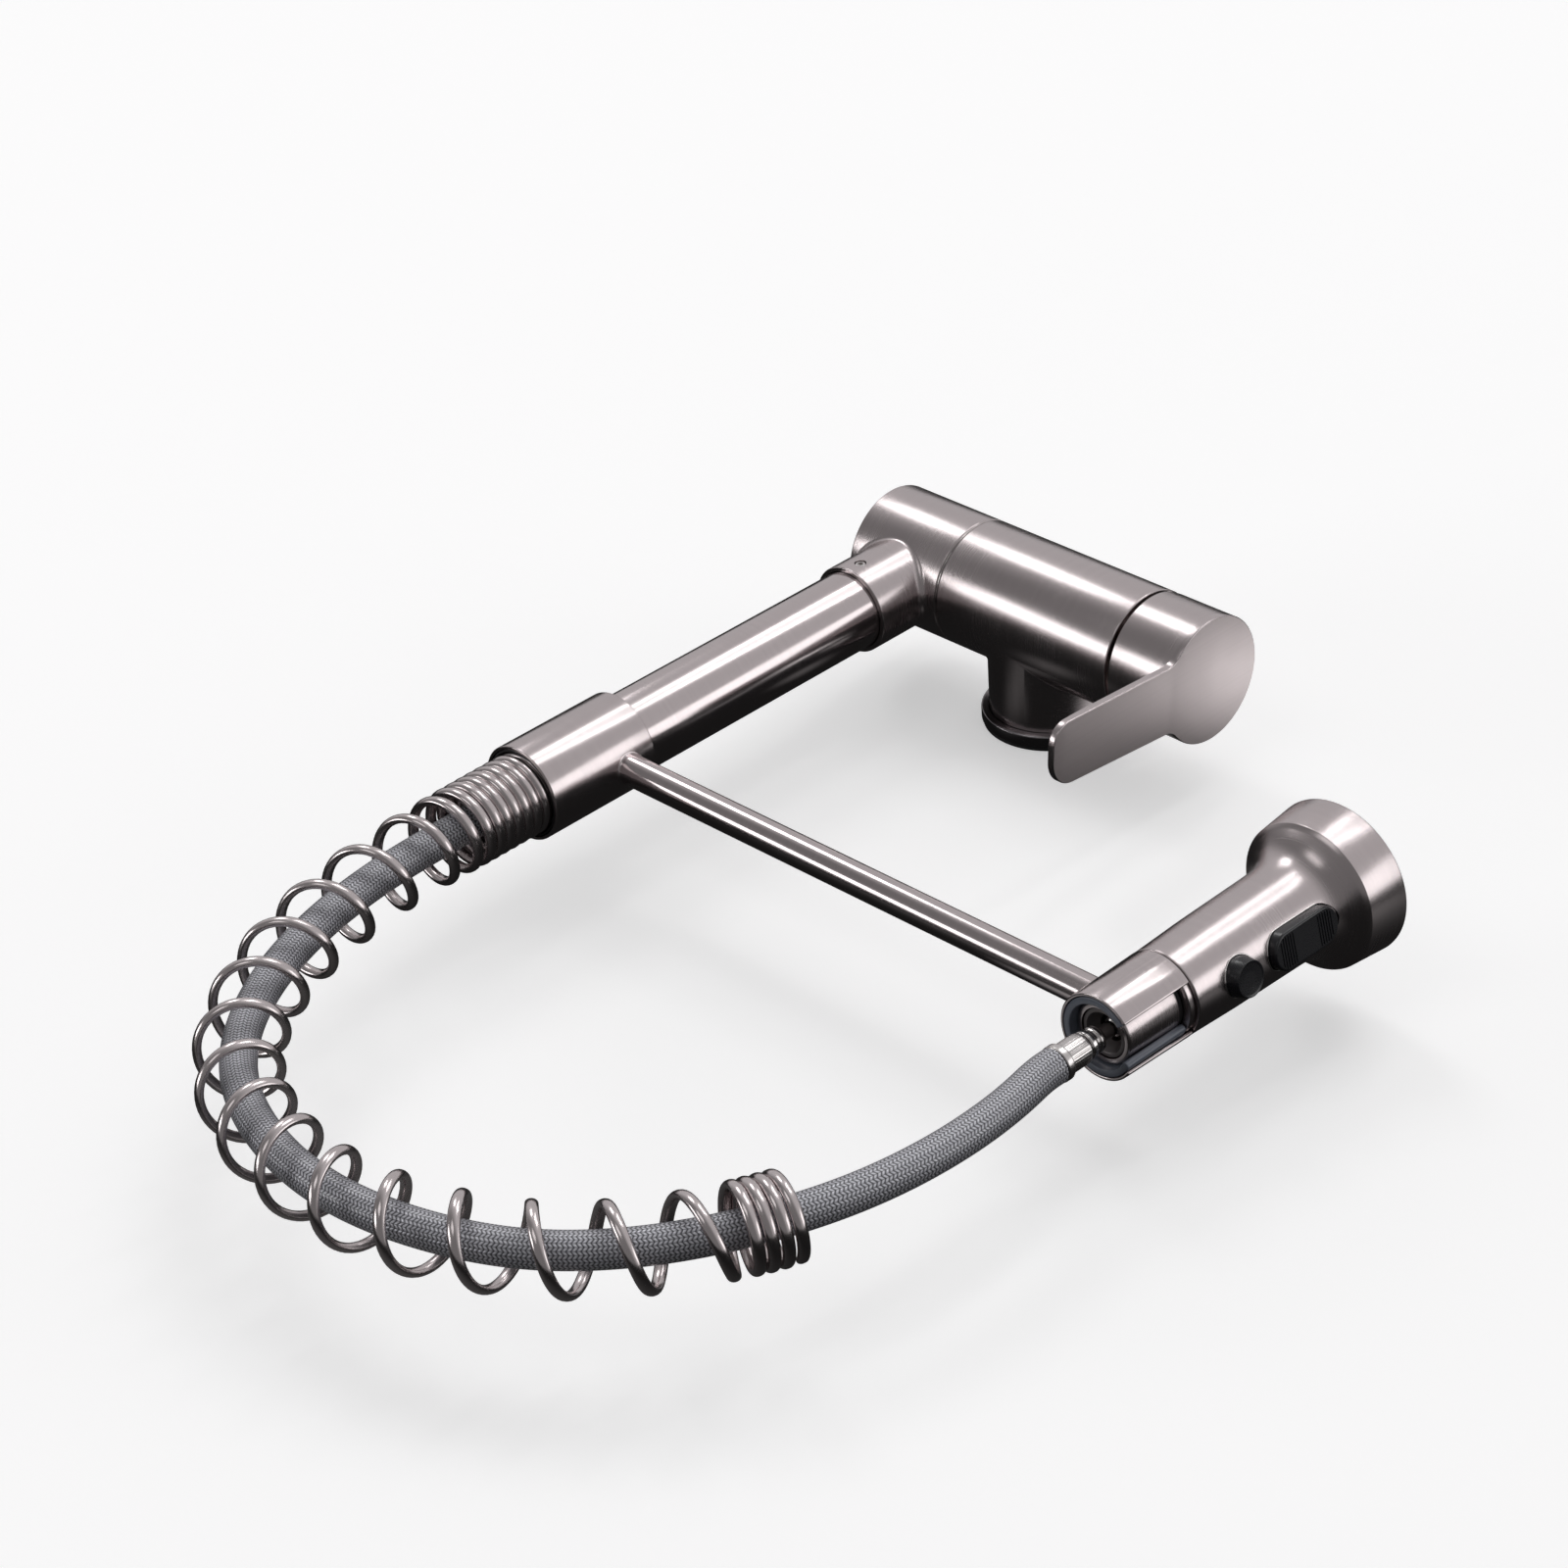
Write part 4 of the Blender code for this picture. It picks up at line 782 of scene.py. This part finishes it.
def makeFerrule():
    f = ferrule
    end, root = f["end"], f["root"]
    bm = spun([(end, 2.4), (end, f["crimp"], 0.6), (end - 3.0, f["crimp"], 0.7),
               (end - 3.5, f["barrel"] - 0.1, 0.3), (end - 4.2, f["barrel"]),
               (root + 1.6, f["barrel"]), (root + 0.9, f["barrel"] - 0.1, 0.4),
               (root, 4.6, 0.4), (root, 2.4)], "Y", f["flutes"] * 4, 4)
    cuts = [e for e in bm.edges if abs(e.verts[0].co.y - e.verts[1].co.y) > 6 * mm
            and min(math.hypot(v.co.x, v.co.z) for v in e.verts) > 5 * mm]
    bmesh.ops.subdivide_edges(bm, edges=cuts, cuts=1)
    for vert in bm.verts:
        r = math.hypot(vert.co.x, vert.co.z)
        station = -vert.co.y / mm
        if r > 5 * mm and root + 1.2 < station < end - 3.9:
            turn = math.atan2(vert.co.z, vert.co.x) * f["flutes"]
            k = 1 - f["fluteDepth"] * mm * (0.5 - 0.5 * math.cos(turn)) / r
            vert.co.x *= k
            vert.co.z *= k
    fitted(asObject("crimp_ferrule", bm, headAxis, sharp=40), crimpSteel, "hose_end",
           "hose_ferrule")
    top = root - gap
    ballAt, ball = f["ballAt"], f["ball"]
    neck = [(top, 2.0), (top, 5.1, 0.7), (top - 2.3, 5.1, 0.7), (top - 2.8, 4.1, 0.3),
            (top - 4.1, 4.0, 0.3), (top - 4.5, 4.75, 0.6), (top - 6.3, 4.65, 0.6),
            (top - 7.0, 3.3, 0.4), (top - 8.0, 2.75, 0.8)]
    for degrees in range(32, 156, 8):
        a = math.radians(degrees)
        neck.append((ballAt + ball * math.cos(a), ball * math.sin(a)))
    neck.append((ballAt - ball * 0.9, 2.0))
    turnedPiece("ball_stem", neck, "Y", headAxis, polished, "hose_end", "ball_fitting", steps=64)


makeFerrule()
print("ferrule made")


# ---- spray head

head = {"rear": 164.8, "rearRadius": 16.4, "waist": 17.8, "rimRear": 86.5, "rimRearRadius": 27.8,
        "front": 71.8, "rimRadius": 29.05, "wall": 1.8, "tailEnd": 194.0, "tailRadius": 11.6,
        "turn": 12.0, "neck": 10.0, "core": 14.3, "shoulderEnd": 167.7, "shoulderRadius": 14.95}
pause = {"at": 144.1, "radius": 7.15, "rise": 4.6, "lip": 0.3}
rocker = {"at": 113.6, "length": 32.6, "width": 14.2, "rise": 2.6, "play": 0.7, "ridges": 6,
          "ridgePitch": 1.25, "ridgeWidth": 0.42, "ridgeRise": 0.3}
outward = Matrix.Rotation(-math.radians(head["turn"]), 4, "Y")


def stadium(bm, halfLength, halfWidth, height):
    # two half discs joined by straight sides, flat in the plane of Y and Z
    straight = halfLength - halfWidth
    ring = bmesh.ops.create_circle(bm, cap_ends=True, segments=64, radius=halfWidth * mm,
                                   matrix=Matrix.Rotation(math.pi / 2, 4, "Y"))["verts"]
    for vert in ring:
        vert.co.y += straight * mm * (1 if vert.co.y >= 0 else -1)
        vert.co.x = height * mm
    return ring


def stadiumPiece(name, halfLength, halfWidth, low, high, station, ease=0.0):
    bm = bmesh.new()
    stadium(bm, halfLength, halfWidth, low)
    extruded(bm, ((high - low) * mm, 0, 0))
    if ease:
        top = [e for e in bm.edges if all(v.co.x > (high - 0.01) * mm for v in e.verts)]
        bmesh.ops.bevel(bm, geom=top, offset=ease * mm, segments=5, profile=0.5,
                        affect="EDGES", material=-1)
    bmesh.ops.translate(bm, verts=bm.verts[:], vec=(0, -station * mm, 0))
    bmesh.ops.transform(bm, matrix=outward, verts=bm.verts[:])
    return asObject(name, bm, headAxis)


def radialDisc(name, profile, station, steps=64):
    bm = spun(profile, "X", steps)
    bmesh.ops.translate(bm, verts=bm.verts[:], vec=(0, -station * mm, 0))
    bmesh.ops.transform(bm, matrix=outward, verts=bm.verts[:])
    return asObject(name, bm, headAxis)


def shellRadius(station):
    if station > 142:
        return head["rearRadius"] + (head["rear"] - station) / 22.8 * 0.77
    return head["rearRadius"] + 0.77 + (142 - station) / 34.5 * 0.53


def makeShell():
    h = head
    rim, waist, wide = h["rimRear"], h["waist"], h["rimRearRadius"]
    bell = np.array([(rim + 22.5, shellRadius(rim + 22.5)), (rim + 15, waist + 0.5),
                     (rim + 11, waist + 1.7), (rim + 7.6, waist + 3.8), (rim + 5.3, wide - 3.8),
                     (rim + 3.3, wide - 1.25)])
    run = np.concatenate([[0], np.cumsum(np.linalg.norm(np.diff(bell, axis=0), axis=1))])
    fine = np.linspace(0, run[-1], 30)
    outer = [(h["rear"], h["neck"] + gap), (h["rear"], h["rearRadius"], 0.5)]
    outer += [(t, shellRadius(t)) for t in np.linspace(h["rear"] - 2, rim + 24, 40)]
    outer += list(zip(naturalSpline(run, bell[:, 0], fine), naturalSpline(run, bell[:, 1], fine)))
    outer += [(rim + 2.1, wide - 0.22, 0.55), (h["front"], h["rimRadius"], 0.6)]
    inner = [(h["front"], h["rimRadius"] - h["wall"], 0.4), (rim - 1, h["rimRearRadius"] - 1.9)]
    inner += [(rim + 2.2, h["rimRearRadius"] - 3.5), (rim + 6.2, waist + 1.2)]
    inner += [(rim + 12, waist - 1.3), (rim + 19, h["core"] + gap)]
    inner += [(h["rear"] - 4.8, h["core"] + gap), (h["rear"] - 4.8, h["neck"] + gap)]
    shell = asObject("head_skin", spun(outer + inner, "Y", 240, 4), headAxis)
    hole = pause["radius"] + gap
    well = radialDisc("well", [(10, 0), (10, hole), (30, hole), (30, 0)], pause["at"])
    slot = stadiumPiece("slot", rocker["length"] / 2 + rocker["play"], rocker["width"] / 2 + gap,
                        10, 34, rocker["at"])
    carve(shell, [well, slot])
    fitted(shell, nickel["Y"], "spray_head", "head_shell")


def lipRing(name, halfLength, halfWidth, station, look):
    # the thin bright edge round an opening in the shell
    straight = halfLength - halfWidth
    count = 96

    def onLip(turn, share):
        a = share * math.tau
        y = halfWidth * np.cos(a) + straight * np.tanh(np.cos(a) * 12)
        z = halfWidth * np.sin(a)
        radius = np.array([shellRadius(station + v) for v in -y])
        x = np.sqrt(radius ** 2 - z ** 2) + 0.02
        out = np.stack([np.zeros_like(a), np.cos(a), np.sin(a)], axis=1)
        t = turn * math.tau
        ring = np.cos(t)[:, None] * out + np.sin(t)[:, None] * np.array([1.0, 0, 0])
        return (np.stack([x, y - station, z], axis=1) + pause["lip"] * ring) * mm

    bm = wrapped(10, count, onLip, ends=False)
    bmesh.ops.transform(bm, matrix=outward, verts=bm.verts[:])
    bmesh.ops.recalc_face_normals(bm, faces=bm.faces[:])
    return fitted(asObject(name, bm, headAxis, sharp=70), look, "spray_head")


def makeButtons():
    p, r = pause, rocker
    surface = shellRadius(p["at"])
    top, face = surface + p["rise"], p["radius"] - 1.0
    button = radialDisc("pause_cap", [
        (11.6, 0), (11.6, p["radius"]), (surface + 0.6, p["radius"], 0.5),
        (top, face + 0.3, 0.35), (top - 0.35, face - 0.6, 0.6), (top - 0.7, face * 0.45, 1.5),
        (top - 0.75, 0)], p["at"])
    fitted(button, blackPlastic, "pause_key", "pause_button")
    crown = head["waist"] + r["rise"]
    halfLength, halfWidth = r["length"] / 2, r["width"] / 2
    key = stadiumPiece("mode_key_cap", halfLength, halfWidth, 12.8, crown, r["at"], 0.9)
    ridges = []
    for side in (-1, 1):
        for i in range(r["ridges"]):
            y = side * (halfLength - 3.6 - r["ridgePitch"] * i)
            reach = (halfWidth - 1.6) * (1 if i else 0.8)
            ridge = stadiumPiece("ridge", r["ridgeWidth"] / 2 + 0.02, r["ridgeWidth"] / 2,
                                 crown - 0.4, crown + r["ridgeRise"], r["at"] - y, 0.08)
            for vert in ridge.data.vertices:
                flat = outward.inverted() @ (vert.co - headAxis)
                flat.z += (reach if flat.z > 0 else -reach) * mm
                vert.co = outward @ flat + headAxis
            ridges.append(ridge)
    carve(key, ridges, "UNION")
    fitted(key, blackPlastic, "mode_key", "mode_rocker")
    lipRing("pause_lip", p["radius"] + gap, p["radius"] + gap - 0.01, p["at"], polished)
    lipRing("mode_lip", halfLength + r["play"], halfWidth + gap, r["at"], polished)


def makeNose():
    h = head
    face = h["front"] + 2.4
    plate = h["rimRear"] - 1.7 - 5.7
    edge, hub = h["rimRearRadius"] - h["wall"] - 0.1, 9.5
    disc = spun([(plate, hub), (plate, edge), (face, edge, 0.4), (face, 25.0), (face + 0.5, 24.6),
                 (face + 0.5, 18.2), (face, 17.8), (face, 17.3), (face + 0.5, 16.9),
                 (face + 0.5, 12.0), (face, 11.6), (face, hub, 0.3)], "Y", 128, 3)
    sprayFace = asObject("spray_disc", disc, headAxis)
    nubs = bmesh.new()
    for ring, count in ((14.6, 8), (20.8, 14)):
        for i in range(count):
            a = math.tau * i / count
            spot = Vector((ring * math.cos(a), -face, ring * math.sin(a))) * mm
            nub = spun([(-1.4, 0), (-1.4, 1.25), (0.5, 1.0), (1.2, 0.85, 0.2), (1.2, 0.4, 0.1),
                        (0.6, 0.3), (0.6, 0)], "Z", 16, 2)
            turn = Matrix.Translation(spot) @ Matrix.Rotation(-math.pi / 2, 4, "X")
            bmesh.ops.transform(nub, matrix=turn, verts=nub.verts[:])
            part = bpy.data.meshes.new("nub")
            nub.to_mesh(part)
            nub.free()
            nubs.from_mesh(part)
            bpy.data.meshes.remove(part)
    fitted(sprayFace, blackInside, "spray_head", "spray_face")
    fitted(asObject("spray_nubs", nubs, headAxis, sharp=40), blackRubber, "spray_head")
    turnedPiece("aerator_cup", [
        (85.0, 0), (85.0, 9.2), (h["front"] + 1.6, 9.2, 0.8), (h["front"] + 1.6, 6.4, 0.3),
        (h["front"] + 4.0, 6.2), (h["front"] + 4.0, 0)], "Y", headAxis, greyPlastic,
        "spray_head", "aerator", steps=72)


def makeTail():
    h = head
    end, r = h["tailEnd"], h["tailRadius"]
    front = h["shoulderEnd"] + 1.75
    turnedPiece("tail_barrel", [
        (end, r - 2.2), (end, r - 0.1, 2.2), (front, r + 0.45, 0.5), (front, h["neck"]),
        (h["rear"] - 6.8, h["neck"]), (h["rear"] - 6.8, 5.2), (end - 15, 5.2),
        (end - 15, r - 2.2)],
        "Y", headAxis, nickel["Y"], "spray_head", "head_tail")
    turnedPiece("tail_nut", [
        (end - 0.4, r - 4.1, 0.35), (end - 0.4, r - 2.5, 0.4), (end - 9, r - 2.5), (end - 9, 5.7),
        (end - 5.2, 5.7), (end - 4.4, 4.9, 0.2)], "Y", headAxis, nutSteel, "spray_head",
        "swivel_nut", steps=72)
    shoulder = h["shoulderEnd"]
    turnedPiece("shoulder_band", [
        (h["rear"] + gap, h["neck"] + gap), (h["rear"] + gap, h["shoulderRadius"], 0.2),
        (shoulder, h["shoulderRadius"], 0.45), (shoulder, h["neck"] + gap)], "Y", headAxis,
        nickel["Y"], "spray_head", "shoulder_ring")
    turnedPiece("tail_seal", [
        (shoulder + 0.15, 10.5), (shoulder + 0.15, 11.9, 0.6), (front - 0.15, 11.9, 0.6),
        (front - 0.15, 10.5)], "Y", headAxis, blackRubber, "spray_head", "tail_o_ring", steps=72)


makeShell()
makeButtons()
makeNose()
makeTail()
print("spray head made")


# ---- lever

lever = {"skirt": 51.9, "face": 80.5, "wall": 2.5, "thick": 2.9, "reach": 86.5,
         "halfRoot": 13.5, "halfTip": 12.7, "lift": 4.4, "pivot": 57.0, "open": 15.0,
         "rootArc": 7.5, "tipTop": 8.5, "tipLow": 11.0, "ease": 0.45}


def paddleOutline():
    # the round cap and the paddle as one outline, out along u and up along w
    v = lever
    radius = lines["bodyRadius"]
    slope = (v["halfRoot"] - v["halfTip"]) / (v["reach"] - radius)
    sides = []
    for corner in (v["tipTop"], v["tipLow"]):
        filletW = v["halfRoot"] + v["rootArc"]
        filletU = math.sqrt((radius + v["rootArc"]) ** 2 - filletW ** 2)
        start = math.atan2(-filletW, -filletU)
        edge = []
        for i in range(13):
            a = start + (-math.pi / 2 - start) * i / 12
            edge.append((filletU + v["rootArc"] * math.cos(a),
                         filletW + v["rootArc"] * math.sin(a)))
        cornerW = v["halfRoot"] - slope * (v["reach"] - corner - filletU) - corner
        for i in range(17):
            a = math.pi / 2 * (1 - i / 16)
            edge.append((v["reach"] - corner + corner * math.cos(a),
                         cornerW + corner * math.sin(a)))
        sides.append(edge)
    meets = math.atan2(sides[0][0][1], sides[0][0][0])
    cap = [(radius * math.cos(a), radius * math.sin(a))
           for a in np.linspace(math.tau - meets, meets, 90)][1:-1]
    return cap + sides[0] + [(u, -w) for u, w in sides[1][::-1]]


def makeLever():
    v = lever
    radius = lines["bodyRadius"]
    lift = Matrix.Rotation(-math.radians(v["lift"]), 4, "X")
    bm = bmesh.new()
    flat = [bm.verts.new(Vector((v["face"] - v["thick"], -u, w)) * mm) for u, w in paddleOutline()]
    bm.faces.new(flat)
    extruded(bm, (v["thick"] * mm, 0, 0))
    front = v["face"] * mm - 1e-6
    rims = [e for e in bm.edges if all(p.co.x > front for p in e.verts)]
    backRims = [e for e in bm.edges if all(p.co.x < front - 2 * mm for p in e.verts)
                and min(-p.co.y for p in e.verts) > 27 * mm]
    bmesh.ops.bevel(bm, geom=rims + backRims, offset=v["ease"] * mm, segments=4, profile=0.5,
                    affect="EDGES", material=-1)
    bmesh.ops.transform(bm, matrix=lift, verts=bm.verts[:])
    plate = asObject("lever_plate", bm, bodyAxis, sharp=40)
    inside, top = radius - v["wall"], v["face"] - v["thick"]
    cup = asObject("lever_cup", spun([
        (top + 0.8, 0), (top + 0.8, radius - 0.02), (v["skirt"], radius - 0.02, 0.4),
        (v["skirt"], inside, 0.3), (v["face"] - 7, inside, 1.0), (v["face"] - 7, 8),
        (63.8, 8, 0.4), (63.8, 4.3), (v["face"] - 6.7, 4.3), (v["face"] - 6.7, 0)], "X", 128),
        bodyAxis)
    carve(cup, [plate], "UNION")
    # room on the far side for the lever to tip open
    rise = math.radians(v["open"])
    start = v["pivot"] + (barrel["right"] + 0.9 - v["pivot"]) / math.cos(rise)
    wedge = bmesh.new()
    corners = [(start + t * math.tan(rise), t) for t in (-4, 40)] + [(30, 40), (30, -4)]
    wedge.faces.new([wedge.verts.new(Vector((x, y, -40)) * mm) for x, y in corners])
    extruded(wedge, (0, 0, 80 * mm))
    bmesh.ops.transform(wedge, matrix=lift, verts=wedge.verts[:])
    carve(cup, [asObject("relief", wedge, bodyAxis)])
    cup.name = "lever_cap"
    fitted(cup, nickel["X"], "lever", "lever_handle")
    # the flat front is brushed the other way
    cup.data.materials.append(faceNickel)
    for face in cup.data.polygons:
        if face.center.x > (v["face"] - 0.05) * mm or (
                face.center.y < -30 * mm and face.normal.x < -0.9):
            face.material_index = 1


makeLever()
print("lever made")


# ---- finishes for the pieces that keep their own shape

kept = {
    "brass": (brass, ("fold_spigot", "hose_inlet_fitting", "bonnet_nut", "cartridge_stem")),
    "steel": (screwSteel, ("retaining_washer", "retaining_screw", "handle_set_screw",
                           "lever_pivot_pin")),
    "rubber": (blackRubber, ("spigot_o_ring_inner", "spigot_o_ring_outer",
                             "riser_o_ring_upper", "riser_o_ring_lower", "ball_seat_washer")),
    "white": (whitePlastic, ("check_valve", "head_core", "cartridge_housing",
                             "cartridge_turret")),
    "black": (blackInside, ("disc_carrier", "spray_housing")),
    "ceramic": (ceramic, ("ceramic_disc_fixed", "ceramic_disc_moving")),
    "red": (redPlastic, ("index_plug",)),
}
for look, names in kept.values():
    for name in names:
        mesh = nodes[name].data
        mesh.materials.clear()
        mesh.materials.append(look)
print("kept pieces finished")


# ---- floor, light and camera

studio = {
    "far": 3.0, "skyBack": 0.55, "skyFront": 0.2, "floorTone": 0.9, "floorLift": 0.4,
    # the floor in reflections: a painted dark reflection, with painted pools of light that glow by
    # place
    "floorInGloss": 0.012,
    "paintedLightPools": (((0.142, 0.08), 0.085, 2.2), ((0.135, -0.03), 0.06, 0.18),
                   ((-0.010, -0.052), 0.024, 0.1), ((0.037, 0.014), 0.03, 0.7),
                   ((0.36, -0.02), 0.14, 0.16),
                   ((0.144, -0.243), 0.05, 0.35), ((0.05, -0.42), 0.22, 0.07)),
}


def makeFloor():
    bm = bmesh.new()
    bmesh.ops.create_grid(bm, x_segments=8, y_segments=8, size=30)
    floor = asObject("studio_floor", bm)
    look = bpy.data.materials.new("paleFloor")
    look.use_nodes = True
    tree = look.node_tree
    tree.nodes.clear()
    out = tree.nodes.new("ShaderNodeOutputMaterial")
    diffuse = tree.nodes.new("ShaderNodeBsdfDiffuse")
    diffuse.inputs["Color"].default_value = (*(studio["floorTone"],) * 3, 1)
    lift = tree.nodes.new("ShaderNodeEmission")
    lift.inputs["Strength"].default_value = studio["floorLift"]
    seen = tree.nodes.new("ShaderNodeAddShader")
    tree.links.new(diffuse.outputs[0], seen.inputs[0])
    tree.links.new(lift.outputs[0], seen.inputs[1])
    # in reflections the floor is a painted dark reflection with painted pools of light glowing by
    # place; the camera sees it pale
    dark = tree.nodes.new("ShaderNodeEmission")
    place = objectCoordinates(tree)
    glow = studio["floorInGloss"]
    for spot, radius, strength in studio["paintedLightPools"]:
        away = tree.nodes.new("ShaderNodeVectorMath")
        away.operation = "DISTANCE"
        tree.links.new(place, away.inputs[0])
        away.inputs[1].default_value = (*spot, 0)
        fade = mapRange(tree, away.outputs["Value"], (0, radius), (strength, 0), smooth=True)
        glow = mathNode(tree, "ADD", fade, glow)
    tree.links.new(glow, dark.inputs["Strength"])
    choose = tree.nodes.new("ShaderNodeMixShader")
    tree.links.new(tree.nodes.new("ShaderNodeLightPath").outputs["Is Camera Ray"],
                   choose.inputs[0])
    tree.links.new(dark.outputs[0], choose.inputs[1])
    tree.links.new(seen.outputs[0], choose.inputs[2])
    tree.links.new(choose.outputs[0], out.inputs["Surface"])
    floor.data.materials.append(look)


def makeSky():
    # a pale studio behind the faucet that falls off to dark in front and below
    world = bpy.data.worlds.new("studioSky")
    scene.world = world
    world.use_nodes = True
    tree = world.node_tree
    background = tree.nodes["Background"]
    background.inputs["Color"].default_value = (1, 0.99, 1, 1)
    split = tree.nodes.new("ShaderNodeSeparateXYZ")
    tree.links.new(tree.nodes.new("ShaderNodeTexCoord").outputs["Generated"], split.inputs[0])
    sides = mapRange(tree, split.outputs["Y"], (-0.35, 0.3),
                     (studio["skyFront"], studio["skyBack"]), smooth=True)
    height = mapRange(tree, split.outputs["Z"], (-0.12, 0.02), (0.03, 1.0), smooth=True)
    glow = mathNode(tree, "MULTIPLY", sides, height)
    path = tree.nodes.new("ShaderNodeLightPath").outputs["Is Camera Ray"]
    mixed = tree.nodes.new("ShaderNodeMix")
    tree.links.new(path, mixed.inputs["Factor"])
    tree.links.new(glow, mixed.inputs["A"])
    mixed.inputs["B"].default_value = 0.95
    tree.links.new(mixed.outputs["Result"], background.inputs["Strength"])


# direction, size, glow and distance
softBoxes = {
    "ceilingBarA": ((-0.205, 0.66, 1.0), (0.16, 1.6), 4.0, 1.2),
    "ceilingBarB": ((0.154, 0.66, 1.0), (0.16, 1.6), 4.0, 1.2),
    "ceilingFill": ((-0.025, 0.66, 1.0), (1.7, 1.7), 1.0, 1.25),
    "ceilingBox": ((-0.80, 0.36, 1.0), (0.9, 1.2), 3.6, 1.3),
    "rightBox": ((0.84, 0.545, 0.12), (1.5, 1.8), 1.2, 1.0),
    "frontBox": ((-0.05, -0.55, 0.83), (1.4, 1.0), 0.9, 1.0),
    "leftBox": ((-0.60, -0.80, 0.25), (1.5, 0.8), 3.0, 1.0),
}


def makeLights():
    aim = Vector((0.06, -0.18, 0.04))
    for name, (direction, size, glow, share) in softBoxes.items():
        data = bpy.data.lights.new(name, "AREA")
        data.shape = "RECTANGLE"
        data.size, data.size_y = size
        data.energy = glow * math.pi * size[0] * size[1]
        lamp = bpy.data.objects.new(name, data)
        scene.collection.objects.link(lamp)
        away = Vector(direction).normalized()
        lamp.location = aim + away * studio["far"] * share
        lamp.rotation_euler = away.to_track_quat("Z", "Y").to_euler()


makeFloor()
makeSky()
makeLights()

cameraPlace = {"azimuth": 46.61, "elevation": 31.86, "roll": -3.75, "lens": 107.0,
               "at": (1.0346, -1.1200, 0.9229)}


def makeCamera():
    a, e, r = (math.radians(cameraPlace[k]) for k in ("azimuth", "elevation", "roll"))
    back = Vector((math.sin(a) * math.cos(e), -math.cos(a) * math.cos(e), math.sin(e)))
    right = Vector((math.cos(a), math.sin(a), 0))
    up = back.cross(right)
    rightTurned = right * math.cos(r) + up * math.sin(r)
    upTurned = up * math.cos(r) - right * math.sin(r)
    lens = bpy.data.cameras.new("studioCamera")
    lens.lens = cameraPlace["lens"]
    lens.sensor_width = 36
    lens.clip_end = 100
    camera = bpy.data.objects.new("studioCamera", lens)
    scene.collection.objects.link(camera)
    camera.matrix_world = Matrix((
        (rightTurned.x, upTurned.x, back.x, cameraPlace["at"][0]),
        (rightTurned.y, upTurned.y, back.y, cameraPlace["at"][1]),
        (rightTurned.z, upTurned.z, back.z, cameraPlace["at"][2]), (0, 0, 0, 1)))
    scene.camera = camera


makeCamera()
scene.view_settings.view_transform = "Standard"
bpy.context.view_layer.update()
print("studio ready")
